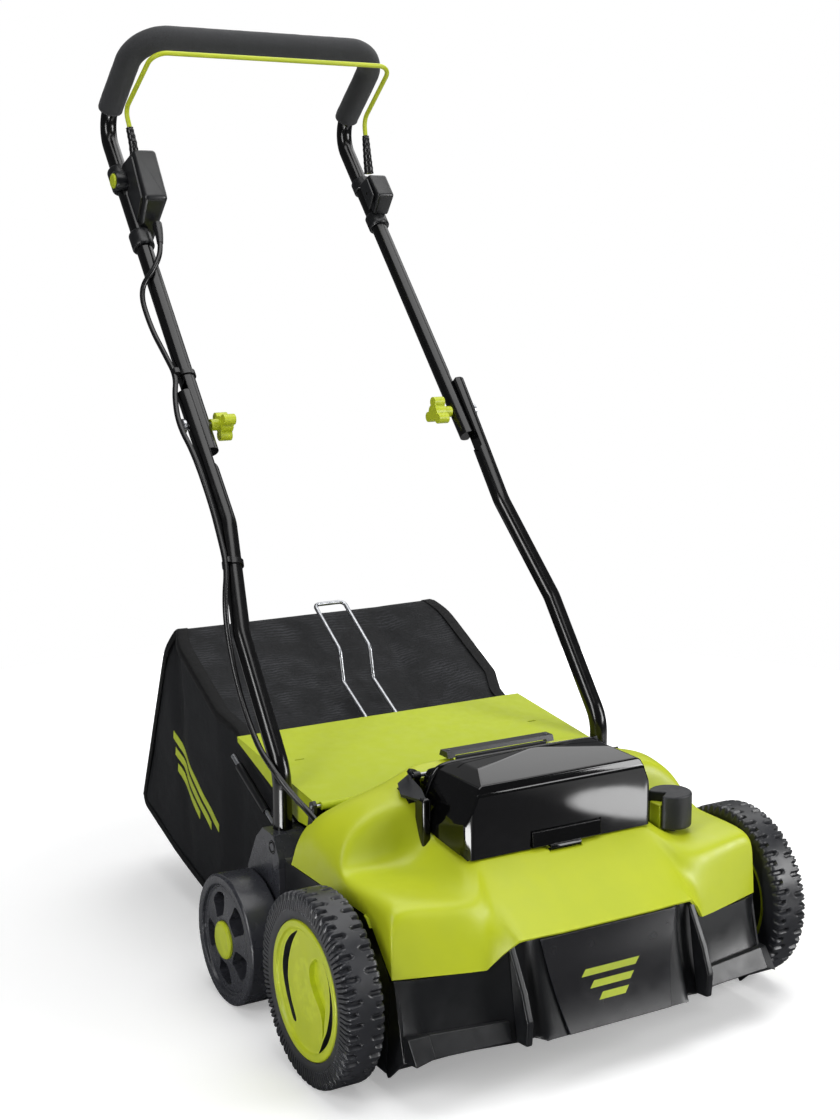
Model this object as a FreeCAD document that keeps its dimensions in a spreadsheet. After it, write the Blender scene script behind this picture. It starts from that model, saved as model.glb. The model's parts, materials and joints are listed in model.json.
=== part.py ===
import FreeCAD, Part
import math
import os
import Sketcher
from FreeCAD import Placement, Rotation, Vector

# Lawn dethatcher.  Millimetres, +Z up, front of the machine towards -Y, operator's left towards +X.
# Every piece is drawn in the deck frame (x from the centre plane, y from the front wheels' centre,
# z from the ground) and then moved by shift_y, so that the origin is below the middle of the machine.

document = FreeCAD.newDocument("LawnDethatcher")
sheet = document.addObject("Spreadsheet::Sheet", "Sizes")


class Size:
    """A number that keeps the sheet expression that it comes from."""

    def __init__(self, value, text=None):
        self.value = float(value)
        self.text = text if text is not None else repr(float(value))

    def __float__(self):
        return self.value

    def joined(self, sign, other, value):
        return Size(value, f"({self.text} {sign} {other.text})")

    def __add__(self, other):
        other = as_size(other)
        return self.joined("+", other, self.value + other.value)

    def __sub__(self, other):
        other = as_size(other)
        return self.joined("-", other, self.value - other.value)

    def __mul__(self, other):
        other = as_size(other)
        return self.joined("*", other, self.value * other.value)

    def __truediv__(self, other):
        other = as_size(other)
        return self.joined("/", other, self.value / other.value)

    def __radd__(self, other):
        return as_size(other) + self

    def __rsub__(self, other):
        return as_size(other) - self

    def __rmul__(self, other):
        return as_size(other) * self

    def __neg__(self):
        return as_size(-1) * self


def as_size(item):
    return item if isinstance(item, Size) else Size(item)


class Sizes:
    """The sheet's cells by name."""


SHEET_VALUES = [
    ("shift_y", -334.64, "deck frame to the machine's own origin"),
    # wheels and axles
    ("front_wheel_radius", 102.5, ""),
    ("front_wheel_inner", 256.2, "inner face from the centre plane"),
    ("front_wheel_outer", 299.5, "outer face from the centre plane"),
    ("front_disc_radius", 73.9, ""),
    ("rear_wheel_radius", 76.0, ""),
    ("rear_wheel_inner", 246.3, ""),
    ("rear_wheel_outer", 289.0, ""),
    ("rear_axle_y", 224.8, ""),
    ("rear_axle_radius", 5.0, ""),
    ("crank_y", 22.0, "pivot line of the front crank axle"),
    ("crank_z", 112.0, ""),
    ("crank_rod_radius", 6.0, ""),
    ("running_gap", 0.05, "radial clearance of a running fit"),
    # deck
    ("deck_half_width", 236.0, ""),
    ("chute_half_width", 200.2, ""),
    ("tunnel_half_width", 192.0, ""),
    ("side_wall_inner", 206.0, "outer face of the tunnel's side wall"),
    ("deck_wall", 4.0, ""),
    # rotor and drive
    ("rotor_y", 118.0, ""),
    ("rotor_z", 82.0, ""),
    ("rotor_shaft_radius", 8.0, ""),
    ("tine_radius", 74.0, ""),
    ("tunnel_radius", 84.0, ""),
    ("bearing_radius", 16.95, ""),
    ("motor_y", -25.0, ""),
    ("motor_z", 118.0, ""),
    ("motor_radius", 34.0, ""),
    ("motor_shaft_radius", 5.0, ""),
    ("motor_pulley_radius", 14.0, ""),
    ("rotor_pulley_radius", 32.0, ""),
    ("pulley_start", 208.0, ""),
    ("pulley_width", 14.0, ""),
    # cover and battery bay
    ("cover_wall", 3.0, ""),
    ("bay_half_width", 118.0, ""),
    ("bay_front", -30.0, ""),
    ("bay_rear", 78.0, ""),
    ("hatch_wall", 3.0, ""),
    ("hatch_hinge_y", 75.0, ""),
    ("hatch_hinge_z", 285.0, ""),
    ("hatch_pin_radius", 2.5, ""),
    ("knob_x", 160.0, ""),
    ("knob_y", -21.0, ""),
    ("knob_z", 207.5, ""),
    ("knob_radius", 25.0, ""),
    ("knob_tall", 41.0, ""),
    ("bar_half_length", 72.0, ""),
    # flap
    ("flap_half_width", 205.0, ""),
    ("flap_sheet", 2.4, ""),
    ("flap_hinge_y", 149.0, ""),
    ("flap_hinge_z", 243.0, ""),
    ("flap_rod_radius", 2.0, ""),
    # handle
    ("tube_radius", 11.0, ""),
    ("tube_wall", 1.5, ""),
    ("foam_radius", 17.0, ""),
    ("handle_pivot_y", 493.5, ""),
    ("handle_pivot_z", 639.8, ""),
    ("lower_tube_x", 199.6, "at the pivot"),
    ("upper_tube_x", 188.4, "at the pivot"),
    ("bolt_radius", 3.95, ""),
    ("socket_x", 222.0, ""),
    ("socket_y", 204.0, ""),
    ("socket_floor", 131.0, ""),
    ("bail_radius", 3.2, ""),
    ("bail_pivot_y", 722.0, ""),
    ("bail_pivot_z", 968.0, ""),
    ("cable_radius", 3.5, ""),
    # catcher
    ("bag_half_width", 207.0, ""),
    ("bag_front_half_width", 195.0, ""),
    ("bag_wall", 1.6, ""),
    ("frame_wire_radius", 3.0, ""),
    ("handle_wire_radius", 2.75, ""),
    ("wire_handle_half_width", 22.0, ""),
]


def fill_sheet():
    sizes = Sizes()
    for row, (alias, value, note) in enumerate(SHEET_VALUES, start=1):
        sheet.set(f"A{row}", alias)
        sheet.set(f"B{row}", repr(value))
        sheet.setAlias(f"B{row}", alias)
        sheet.set(f"C{row}", note)
        setattr(sizes, alias, Size(value, f"Sizes.{alias}"))
    document.recompute()
    return sizes


size = fill_sheet()
sub_parts = []
cut_features = []


# ---- parametric building blocks --------------------------------------------------------------

def new_body(label):
    body = document.addObject("PartDesign::Body", label)
    body.Label = label
    sub_parts.append(body)
    return body


def place(item, x=0.0, y=0.0, z=0.0, rotation=None):
    """Put a finished piece at a point of the deck frame."""
    base = (as_size(x), as_size(y) + size.shift_y, as_size(z))
    item.Placement = Placement(Vector(*map(float, base)), rotation or Rotation())
    for letter, value in zip("xyz", base):
        item.setExpression(f"Placement.Base.{letter}", value.text)
    return item


def new_sketch(body, plane, start=0.0):
    """A sketch on one of the body's own planes, start away along the plane's normal."""
    sketch = body.newObject("Sketcher::SketchObject", body.Label + "_sketch")
    origin_plane = next(f for f in body.Origin.OriginFeatures if f.Role == plane + "_Plane")
    sketch.AttachmentSupport = [(origin_plane, "")]
    sketch.MapMode = "FlatFace"
    start = as_size(start)
    sketch.AttachmentOffset = Placement(Vector(0, 0, float(start)), Rotation())
    sketch.setExpression("AttachmentOffset.Base.z", start.text)
    return sketch


def draw_circle(sketch, centre, radius):
    u, v, radius = as_size(centre[0]), as_size(centre[1]), as_size(radius)
    circle = Part.Circle(Vector(float(u), float(v), 0), Vector(0, 0, 1), float(radius))
    index = sketch.addGeometry(circle, False)
    pairs = [
        ("Radius", (index,), radius),
        ("DistanceX", (-1, 1, index, 3), u),
        ("DistanceY", (-1, 1, index, 3), v),
    ]
    for kind, where, value in pairs:
        number = sketch.addConstraint(Sketcher.Constraint(kind, *where, float(value)))
        sketch.setExpression(f"Constraints[{number}]", value.text)


def draw_outline(sketch, points):
    """A closed outline of straight lines whose corners are bound to the sheet."""
    corners = [(as_size(u), as_size(v)) for u, v in points]
    count = len(corners)
    lines = []
    for index in range(count):
        ends = []
        for corner in (corners[index], corners[(index + 1) % count]):
            ends.append(Vector(float(corner[0]), float(corner[1]), 0))
        lines.append(sketch.addGeometry(Part.LineSegment(*ends), False))
    for index, line in enumerate(lines):
        following = lines[(index + 1) % count]
        sketch.addConstraint(Sketcher.Constraint("Coincident", line, 2, following, 1))
        for kind, value in zip(("DistanceX", "DistanceY"), corners[index]):
            number = sketch.addConstraint(Sketcher.Constraint(kind, -1, 1, line, 1, float(value)))
            sketch.setExpression(f"Constraints[{number}]", value.text)


def draw(sketch, outline):
    """outline is ("circle", centre, radius) or a list of corners."""
    if outline[0] == "circle":
        draw_circle(sketch, outline[1], outline[2])
    else:
        draw_outline(sketch, outline)


def pad(body, plane, outline, start, length):
    sketch = new_sketch(body, plane, start)
    draw(sketch, outline)
    feature = body.newObject("PartDesign::Pad", body.Label + "_pad")
    feature.Profile = sketch
    feature.Length = float(length)
    feature.setExpression("Length", as_size(length).text)
    return feature


def pocket(body, plane, outline, start, length):
    """A pocket that goes from start along the plane's normal."""
    sketch = new_sketch(body, plane, start)
    draw(sketch, outline)
    feature = body.newObject("PartDesign::Pocket", body.Label + "_pocket")
    feature.Profile = sketch
    feature.Reversed = True
    feature.Length = float(length)
    feature.setExpression("Length", as_size(length).text)
    cut_features.append(feature)
    return feature


def turn(body, points):
    """A solid of revolution about the body's own X axis: points are (along the axis, radius)."""
    sketch = new_sketch(body, "XY")
    draw_outline(sketch, points)
    feature = body.newObject("PartDesign::Revolution", body.Label + "_turn")
    feature.Profile = sketch
    feature.ReferenceAxis = (sketch, ["H_Axis"])
    feature.Angle = 360.0
    return feature


def repeat_round(body, feature, axis_role, count):
    """Repeat a feature around one of the body's own axes."""
    pattern = body.newObject("PartDesign::PolarPattern", body.Label + "_pattern")
    pattern.Originals = [feature]
    axis = next(f for f in body.Origin.OriginFeatures if f.Role == axis_role)
    pattern.Axis = (axis, [""])
    pattern.Angle = 360.0
    pattern.Occurrences = count
    body.Tip = pattern
    return pattern


def rectangle(low_u, low_v, high_u, high_v):
    return [(low_u, low_v), (high_u, low_v), (high_u, high_v), (low_u, high_v)]


# ---- direct shapes ---------------------------------------------------------------------------

def shape_part(label, shape):
    """A sub-part whose shape is made directly from the sheet's sizes, in the deck frame."""
    feature = document.addObject("Part::Feature", label)
    feature.Label = label
    feature.Shape = shape
    sub_parts.append(feature)
    return place(feature)


def block(low, high):
    low = Vector(*map(float, low))
    spans = [float(b) - a for a, b in zip(low, high)]
    return Part.makeBox(*spans, low)


def rod(start, end, radius):
    start, end = Vector(*map(float, start)), Vector(*map(float, end))
    return Part.makeCylinder(float(radius), (end - start).Length, start, end - start)


def prism(axis, outline, low, high):
    """An outline in the plane across the axis, drawn out from low to high along it."""
    def at(u, v):
        values = {"x": (low, u, v), "y": (u, low, v), "z": (u, v, low)}[axis]
        return Vector(*map(float, values))
    corners = [at(u, v) for u, v in outline]
    face = Part.Face(Part.makePolygon(corners + corners[:1]))
    step = float(high) - float(low)
    return face.extrude({"x": Vector(step, 0, 0), "y": Vector(0, step, 0), "z": Vector(0, 0, step)}[axis])


def ribbed_loft(sections):
    """A ruled solid through (x, [(y, z), ...]) sections with the same number of corners."""
    wires = []
    for x, outline in sections:
        corners = [Vector(float(x), float(y), float(z)) for y, z in outline]
        wires.append(Part.makePolygon(corners + corners[:1]))
    return Part.makeLoft(wires, True, True)


def route(points, radii):
    """Straight runs joined by tangent arcs, one radius for each inner point."""
    points = [Vector(*map(float, point)) for point in points]
    edges = []
    cursor = points[0]
    for before, corner, after, radius in zip(points, points[1:], points[2:], radii):
        inward = (before - corner).normalize()
        outward = (after - corner).normalize()
        half = (math.pi - inward.getAngle(outward)) / 2
        reach = radius * math.tan(half)
        first = corner + inward * reach
        last = corner + outward * reach
        toward_centre = (inward + outward).normalize()
        middle = corner + toward_centre * (radius / math.cos(half) - radius)
        edges.append(Part.LineSegment(cursor, first).toShape())
        edges.append(Part.Arc(first, middle, last).toShape())
        cursor = last
    edges.append(Part.LineSegment(cursor, points[-1]).toShape())
    return Part.Wire(edges)


def pipe(wire, radius):
    start = wire.Edges[0].Vertexes[0].Point
    heading = wire.Edges[0].tangentAt(wire.Edges[0].FirstParameter)
    ring = Part.Wire(Part.Circle(start, heading, float(radius)).toShape())
    return wire.makePipeShell([ring], True, False)


def mirrored(shape):
    return shape.mirror(Vector(0, 0, 0), Vector(1, 0, 0))


def both_sides(shape):
    return Part.Compound([shape, mirrored(shape)])


def largest(shape):
    """The main solid, without the slivers that a cut along its surface leaves."""
    return max(shape.Solids, key=lambda solid: solid.Volume)


def corner_radii(points, share=0.45):
    """Arcs as large as the runs allow: a share of the shorter run over the half turn's tangent."""
    radii = []
    for before, corner, after in zip(points, points[1:], points[2:]):
        before, corner, after = Vector(*before), Vector(*corner), Vector(*after)
        half = (corner - before).getAngle(after - corner) / 2
        shorter = min((corner - before).Length, (after - corner).Length)
        radii.append(share * shorter / math.tan(half))
    return radii


# ---- deck ------------------------------------------------------------------------------------

def lower_housing():
    body = new_body("lower_housing")
    half = size.deck_half_width
    profile = [
        (-62, 22), (-72, 126), (-30, 178), (164, 178), (262, 226), (266, 226), (266, 87), (209, 87), (205, 22),
    ]
    pad(body, "YZ", profile, -half, half * 2)
    # the rear of the deck is narrower, between the rear brackets
    for start, end in ((-250, -size.chute_half_width), (size.chute_half_width, 250)):
        pocket(body, "XY", rectangle(start, 170.5, end, 280), 0, 260)
    # rotor tunnel and the chute to the rear
    inner = size.tunnel_half_width
    pocket(body, "YZ", ("circle", (size.rotor_y, size.rotor_z), size.tunnel_radius), -inner, inner * 2)
    chute = [(34, -5), (34, 82), (118, 166), (166, 174), (258, 221), (280, 221), (280, 92), (204, 92), (201, -5)]
    pocket(body, "YZ", chute, -inner, inner * 2)
    # front compartment for the motor and the electronics, open to the top
    cavity_half = half - size.deck_wall
    front_room = [(-57, 30), (-67, 124), (-67, 200), (16, 200), (16, 30)]
    pocket(body, "YZ", front_room, -cavity_half, cavity_half * 2)
    # saddles that carry the motor
    for start in (-46, 34):
        pad(body, "YZ", [(-54, 28), (-54, 96), (4, 96), (4, 28)], start, 12)
        pocket(body, "YZ", ("circle", (size.motor_y, size.motor_z), size.motor_radius + 0.1), start - 1, 14)
    # side compartments for the belt and the bearings
    side_room = [(10, 36), (156, 36), (158, 120), (150, 172), (10, 172)]
    depth = cavity_half - size.side_wall_inner
    pocket(body, "YZ", side_room, size.side_wall_inner, depth)
    pocket(body, "YZ", side_room, -cavity_half, depth)
    # room for the crank axle, its lever and the rotor's bearings
    crank_bore = size.crank_rod_radius + size.running_gap
    pocket(body, "YZ", ("circle", (size.crank_y, size.crank_z), crank_bore), -half, half * 2)
    pocket(body, "YZ", [(10, 96), (10, 185), (56, 185), (56, 150), (38, 128), (32, 96)], 144, 20)
    seat = size.bearing_radius + size.running_gap
    reach = size.side_wall_inner + 1
    pocket(body, "YZ", ("circle", (size.rotor_y, size.rotor_z), seat), -reach, reach * 2)
    # lugs that hold the flap's rod
    lug = [
        (154.5, 170), (162, 170), (162, 215), (156, 247), (149, 250), (144.5, 246), (144.5, 238), (154.5, 214),
    ]
    for start in (-211.5, 207.5):
        pad(body, "YZ", lug, start, 4)
    hole = size.flap_rod_radius + size.running_gap
    pocket(body, "YZ", ("circle", (size.flap_hinge_y, size.flap_hinge_z), hole), -215, 430)
    place(body)


def apron_sections(depth):
    """The apron's front skin, from one side to the other: (x, top edge, bottom edge) and its depth."""
    halves = [
        (236, (-80, 129), (-100, 48)),
        (217, (-89, 129), (-118, 58)),
        (142, (-102, 129), (-128, 56)),
        (125, (-107, 145), (-131, 56)),
        (113, (-112, 159), (-133, 56)),
        (100, (-112, 159), (-133, 57)),
        (92, (-122, 159), (-146, 57)),
    ]
    sides = [(-x, top, bottom) for x, top, bottom in halves]
    sides += reversed(halves)
    sections = []
    for x, top, bottom in sides:
        corners = [top, bottom, (bottom[0] + depth, bottom[1]), (top[0] + depth, top[1])]
        sections.append((x, corners))
    return sections


def front_apron():
    skin = ribbed_loft(apron_sections(4))
    rib = prism("x", [(-112.5, 159), (-141, 112), (-152, 84), (-150, 58), (-131, 56)], 113, 121)
    foot_sections = [
        (128, [(-127.5, 56), (-134, 60), (-129, 80), (-123, 80)]),
        (217, [(-116, 58), (-131, 62), (-118, 82), (-111, 82)]),
        (235, [(-99, 49), (-124, 53), (-106, 76), (-95, 76)]),
    ]
    foot = ribbed_loft(foot_sections)
    cheek_outline = [(-79.5, 128.5), (-99.5, 49), (-66, 18), (-62.4, 21.5), (-72.4, 126), (-74, 128.5)]
    cheek = prism("x", cheek_outline, 232, 236)
    apron = skin.multiFuse([rib, mirrored(rib), foot, mirrored(foot), cheek, mirrored(cheek)])
    shape_part("front_apron", largest(apron.cut(outer_cover()).removeSplitter()))


def apron_panel():
    body = new_body("apron_panel")
    sheet_profile = [(-122.6, 158), (-146.4, 59), (-149, 59), (-125.2, 158)]
    pad(body, "YZ", sheet_profile, -88, 176)
    # the sides slope, so that the panel is narrower at its foot
    for side in (-1, 1):
        pocket(body, "XZ", [(side * 89, 160), (side * 86, 160), (side * 65, 56), (side * 89, 56)], 110, 50)
    place(body)


COVER_SECTIONS = [
    # x, then front foot, front crest, shelf front, shelf rear, hump front, crest, rear top, rear foot, arch
    (238, [(-79, 130), (-77, 198), (-50, 202), (25, 203), (45, 207), (98, 226), (139, 211), (150, 181), (-30, 181)]),
    (225, [(-83, 130), (-78, 203), (-50, 206), (36, 205), (49, 238), (98, 250), (141, 232), (151, 184), (-30, 184)]),
    (195, [(-92, 130), (-80, 201), (-50, 203), (38, 202), (49, 260), (99, 264), (141, 240), (151, 188), (-30, 184)]),
    (158, [(-102, 129.5), (-84, 197), (-60, 200), (38, 201), (50, 266), (99, 272), (140, 250), (150, 192), (-30, 184)]),
    (141, [(-106, 129.5), (-86, 193), (-62, 203), (32, 212), (50, 267), (99, 278), (140, 254), (149, 194), (-30, 184)]),
    (128, [(-114, 146), (-74, 201), (-40, 214), (28, 229), (51, 264), (99, 284), (139, 257), (148, 195), (-30, 184)]),
    (112, [(-122, 161), (-37, 218), (-34, 219), (28, 229), (51, 262), (99, 291), (138, 260), (148, 196), (-30, 184)]),
    (60, [(-125, 161), (-38, 218), (-34, 219), (28, 229), (51, 262), (98, 293.5), (138, 262), (148, 196), (-30, 184)]),
]


def inner_cover_outline(outline, wall):
    """The cover's inner surface: a section drawn in by the wall, with its foot opened downwards."""
    front_foot, crests, rear_foot = outline[0], outline[1:7], outline[7]
    inner = [(front_foot[0] + wall, 60)]
    for index, (y, z) in enumerate(crests):
        inward = wall if index == 0 else (-wall if index == len(crests) - 1 else 0.0)
        inner.append((y + inward, z - wall))
    inner.append((rear_foot[0] - wall, 60))
    inner.append((outline[8][0], 60))
    return inner


def cover_sides():
    sides = [(-x, outline) for x, outline in COVER_SECTIONS]
    return sides + COVER_SECTIONS[::-1]


def outer_cover():
    return ribbed_loft(cover_sides())


def top_cover():
    outer = outer_cover()
    sides = cover_sides()
    wall = size.cover_wall.value
    inner_sides = []
    for x, outline in sides:
        inner_x = max(-238 + wall, min(238 - wall, x))
        inner_sides.append((inner_x, inner_cover_outline(outline, wall)))
    cover = outer.cut(ribbed_loft(inner_sides))
    bay = size.bay_half_width.value
    openings = [
        block((-bay, size.bay_front, 150), (bay, size.bay_rear, 330)),
        block((-129.5, 24, 233), (129.5, size.bay_rear + 2, 330)),
        both_sides(block((100, 52.5, 221), (142.5, 79.5, 330))),
        block((-60, 82, 277), (60, 112, 330)),
        rod((size.knob_x, size.knob_y, 170), (size.knob_x, size.knob_y, 230), 7),
        rod((size.knob_x, size.knob_y, size.knob_z - 0.5), (size.knob_x, size.knob_y, 240), size.knob_radius + 1.5),
        block((-226, 122, 222), (-208, 160, 247)),
    ]
    for opening in openings:
        cover = cover.cut(opening)
    shape_part("top_cover", cover)


def hinge_rod(low, high, radius):
    y, z = size.hatch_hinge_y, size.hatch_hinge_z
    return rod((low, y, z), (high, y, z), radius)


def battery_bezel():
    ring = block((-117.5, -29.5, 202), (117.5, 77.5, 231)).cut(block((-113, -25, 200), (113, 73, 240)))
    arm = block((117.4, 53.5, 222), (141.5, 78.5, 231))
    post = block((130, 53.5, 230), (141.5, 78.5, 270))
    cap = prism("x", [(53.5, 264), (78.5, 266), (78.5, 273), (66, 273)], 129.8, 141.5)
    side = arm.fuse(post).fuse(cap)
    hinge_ear = hinge_rod(116, 124, 4.5)
    ear_web = block((116, 74, 230.5), (124, 77.4, 283))
    bezel = ring.multiFuse([side, mirrored(side), hinge_ear, mirrored(hinge_ear), ear_web, mirrored(ear_web)])
    shape_part("battery_bezel", bezel.cut(hinge_rod(-130, 130, size.hatch_pin_radius)))


def battery_tray():
    body = new_body("battery_tray")
    pad(body, "XY", rectangle(-112, -24, 112, 72), 178, 23.5)
    pocket(body, "XY", rectangle(-109, -21, 109, 69), 182, 30)
    place(body)


def battery_packs():
    pack = block((6, -18, 182.2), (104, 60, 262))
    latch_step = block((14, -18, 261.9), (96, 20, 270))
    shape_part("battery_packs", both_sides(pack.fuse(latch_step)))


def carry_bar():
    body = new_body("carry_bar")
    half = size.bar_half_length
    pad(body, "YZ", [(86, 293.8), (89, 300.5), (103, 300.5), (106, 293.8)], -half, half * 2)
    pocket(body, "XZ", rectangle(-62, 290, 62, 296.5), -110, 30)
    for x in (-66, 66):
        pocket(body, "XY", ("circle", (x, 96), 2.6), 290, 12)
    place(body)


# ---- drive -----------------------------------------------------------------------------------

def motor():
    can = new_body("motor_can")
    bore, radius = size.motor_shaft_radius + size.running_gap, size.motor_radius
    turn(can, [(-60, bore), (-60, radius - 3), (-57, radius), (57, radius), (60, radius - 3), (60, bore)])
    place(can, 0, size.motor_y, size.motor_z)
    shaft = new_body("motor_shaft")
    radius, groove = size.motor_shaft_radius, size.motor_pulley_radius
    low, high = size.pulley_start, size.pulley_start + size.pulley_width
    turn(shaft, [
        (-62, 0), (-62, radius), (low, radius), (low, groove + 4), (low + 2, groove + 4), (low + 2, groove),
        (high - 2, groove), (high - 2, groove + 4), (high, groove + 4), (high, 0),
    ])
    place(shaft, 0, size.motor_y, size.motor_z)


def pulley(label, radius, shaft_radius, y, z):
    body = new_body(label)
    width = size.pulley_width
    outline = [
        (0, shaft_radius), (0, radius + 4), (2, radius + 4), (2, radius),
        (width - 2, radius), (width - 2, radius + 4), (width, radius + 4), (width, shaft_radius),
    ]
    turn(body, outline)
    place(body, size.pulley_start, y, z)


def drive_belt():
    """A flat loop round both pulleys: the hull of two discs, less the same hull drawn in."""
    small, large = size.motor_pulley_radius.value + 0.2, size.rotor_pulley_radius.value + 0.2
    y_small, z_small = size.motor_y.value, size.motor_z.value
    y_large, z_large = size.rotor_y.value, size.rotor_z.value
    reach = math.hypot(y_large - y_small, z_large - z_small)
    heading = math.atan2(z_large - z_small, y_large - y_small)
    start = size.pulley_start.value + 2.5
    width = size.pulley_width.value - 5

    def loop(grow):
        lean = math.acos((small - large) / reach)
        rims = []
        for sign in (1, -1):
            angle = heading + sign * lean
            for y, z, radius in ((y_small, z_small, small + grow), (y_large, z_large, large + grow)):
                rims.append((y + radius * math.cos(angle), z + radius * math.sin(angle)))
        web = prism("x", [rims[0], rims[1], rims[3], rims[2]], start, start + width)
        ends = [
            rod((start, y_small, z_small), (start + width, y_small, z_small), small + grow),
            rod((start, y_large, z_large), (start + width, y_large, z_large), large + grow),
        ]
        return web.multiFuse(ends)

    shape_part("drive_belt", loop(2.5).cut(loop(0.0)))


def belt_cover():
    body = new_body("belt_cover")
    pad(body, "YZ", [(20, 40), (154, 40), (156, 120), (147, 169), (20, 169)], 226, 5)
    pocket(body, "YZ", ("circle", (size.rotor_y, size.rotor_z), 12), 225, 7)
    pocket(body, "YZ", ("circle", (size.crank_y, size.crank_z), 9), 225, 7)
    place(body)


def controller_box():
    body = new_body("controller_box")
    pad(body, "XY", rectangle(-190, -48, -80, 6), 32, 60)
    pocket(body, "XY", rectangle(-187, -45, -83, 3), 36, 60)
    pad(body, "XY", rectangle(-190, -48, -80, 6), 92, 3)
    place(body)


def rotor():
    shaft = new_body("rotor_shaft")
    radius = size.rotor_shaft_radius
    turn(shaft, [
        (-210, 0), (-210, radius), (-188, radius), (-188, 18), (188, 18), (188, radius), (224, radius), (224, 0),
    ])
    place(shaft, 0, size.rotor_y, size.rotor_z)
    tines = []
    centre = Vector(0, size.rotor_y.value, size.rotor_z.value)
    rows, per_row = 4, 9
    for row in range(rows):
        angle = math.radians(360 * row / rows + 12)
        outward = Vector(0, math.cos(angle), math.sin(angle))
        trailing = Vector(0, -math.sin(angle), math.cos(angle))
        for place_in_row in range(per_row):
            x = -176 + 352 * (place_in_row + 0.25 * row) / (per_row - 0.25)
            root = centre + Vector(x, 0, 0) + outward * 18.9
            knee = centre + Vector(x, 0, 0) + outward * 50 + trailing * 2
            tip = centre + Vector(x, 0, 0) + outward * (size.tine_radius.value - 2) + trailing * 10
            tines.append(pipe(route([root, knee, tip], [30]), 1.8))
    shape_part("rotor_tines", Part.Compound(tines))
    bearings = []
    y, z = size.rotor_y, size.rotor_z
    for low in (-205, 193):
        outer = rod((low, y, z), (low + 12, y, z), size.bearing_radius)
        bore = rod((low - 1, y, z), (low + 13, y, z), radius + size.running_gap)
        bearings.append(outer.cut(bore))
    shape_part("rotor_bearings", Part.Compound(bearings))


# ---- wheels and axles ------------------------------------------------------------------------

def side_rotation(side):
    """Pieces turned for the +X side are turned about Z for the other."""
    return Rotation() if side > 0 else Rotation(Vector(0, 0, 1), 180)


def front_wheel(name, side):
    inner, outer, radius = size.front_wheel_inner, size.front_wheel_outer, size.front_wheel_radius
    seat = size.front_disc_radius + 0.1
    tyre = new_body(f"front_tyre_{name}")
    turn(tyre, [
        (inner, seat), (inner, radius - 9), (inner + 3, radius - 1.5), (inner + 6, radius),
        (outer - 8, radius), (outer - 3, radius - 2), (outer, radius - 10), (outer, radius - 22),
        (outer - 2, radius - 25), (outer - 2, seat),
    ])
    place(tyre, 0, 0, radius, side_rotation(side))
    disc = new_body(f"front_disc_{name}")
    bore = Size(6.0)
    edge = size.front_disc_radius
    turn(disc, [
        (252, bore), (252, 14), (284, 17), (284, 64), (259, 66), (259, edge), (outer - 1.2, edge),
        (outer - 0.6, edge - 4), (outer - 0.6, edge - 8), (outer - 4, edge - 11), (outer - 6, 26), (outer - 6, 0),
        (290, 0), (290, bore),
    ])
    place(disc, 0, 0, radius, side_rotation(side))


def front_axle():
    pivot_y, pivot_z = size.crank_y, size.crank_z
    rod_line = rod((-247, pivot_y, pivot_z), (247, pivot_y, pivot_z), size.crank_rod_radius)
    wheel_z = size.front_wheel_radius.value
    arm = rod((241, pivot_y, pivot_z), (247, pivot_y, pivot_z), 10)
    arm_end = rod((241, 0, wheel_z), (247, 0, wheel_z), 10)
    web = prism("x", [(18, 121.2), (-4, 111.7), (4, 93.3), (26, 102.8)], 241, 247)
    stub = rod((246, 0, wheel_z), (289.5, 0, wheel_z), 5.95)
    lever = prism("x", [(17, 112), (27, 112), (12, 152), (4, 149)], 150, 158)
    lever_eye = rod((150, pivot_y, pivot_z), (158, pivot_y, pivot_z), 9)
    side = arm.multiFuse([arm_end, web, stub])
    shape_part("front_axle", rod_line.multiFuse([side, mirrored(side), lever, lever_eye]).removeSplitter())


def rear_wheel(name, side):
    inner, outer, radius = size.rear_wheel_inner, size.rear_wheel_outer, size.rear_wheel_radius
    bore = size.rear_axle_radius + size.running_gap
    wheel = new_body(f"rear_wheel_{name}")
    turn(wheel, [
        (inner, bore), (inner, 14), (264, 17), (264, 56), (inner, 59), (inner, radius - 3), (inner + 3, radius),
        (outer - 3, radius), (outer, radius - 3), (outer, 63), (outer - 3, 58), (274, 56), (274, 22),
        (outer - 3, 21), (outer - 3, bore),
    ])
    window = [(-13.5, 51), (13.5, 51), (7.5, 27), (-7.5, 27)]
    opening = pocket(wheel, "YZ", window, 262, 14)
    repeat_round(wheel, opening, "X_Axis", 5)
    place(wheel, 0, size.rear_axle_y, radius, side_rotation(side))
    cap = new_body(f"rear_cap_{name}")
    turn(cap, [(outer - 2.8, 0), (outer - 2.8, 22), (outer + 1.5, 22), (outer + 3.5, 19), (outer + 4, 0)])
    place(cap, 0, size.rear_axle_y, radius, side_rotation(side))


def rear_axle():
    body = new_body("rear_axle")
    turn(body, [(-286, 0), (-286, size.rear_axle_radius), (286, size.rear_axle_radius), (286, 0)])
    place(body, 0, size.rear_axle_y, size.rear_wheel_radius)


def rear_bracket(name, side):
    body = new_body(f"rear_bracket_{name}")
    outline = [(171, 180), (186, 204), (214, 206), (232, 190), (256, 148), (244, 60), (206, 60), (171, 108)]
    inner = size.chute_half_width + 0.1
    start = inner if side > 0 else Size(-243)
    pad(body, "YZ", outline, start, 243 - inner)
    axle_hole = size.rear_axle_radius + size.running_gap
    pocket(body, "YZ", ("circle", (size.rear_axle_y, size.rear_wheel_radius), axle_hole), start - 1, 46)
    pocket(body, "YZ", ("circle", (189, 190), 6), 240 if side > 0 else -244, 4)
    socket = ("circle", (side * size.socket_x, size.socket_y), size.tube_radius + size.running_gap)
    pocket(body, "XY", socket, size.socket_floor, 90)
    place(body)


# ---- handle ----------------------------------------------------------------------------------

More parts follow.
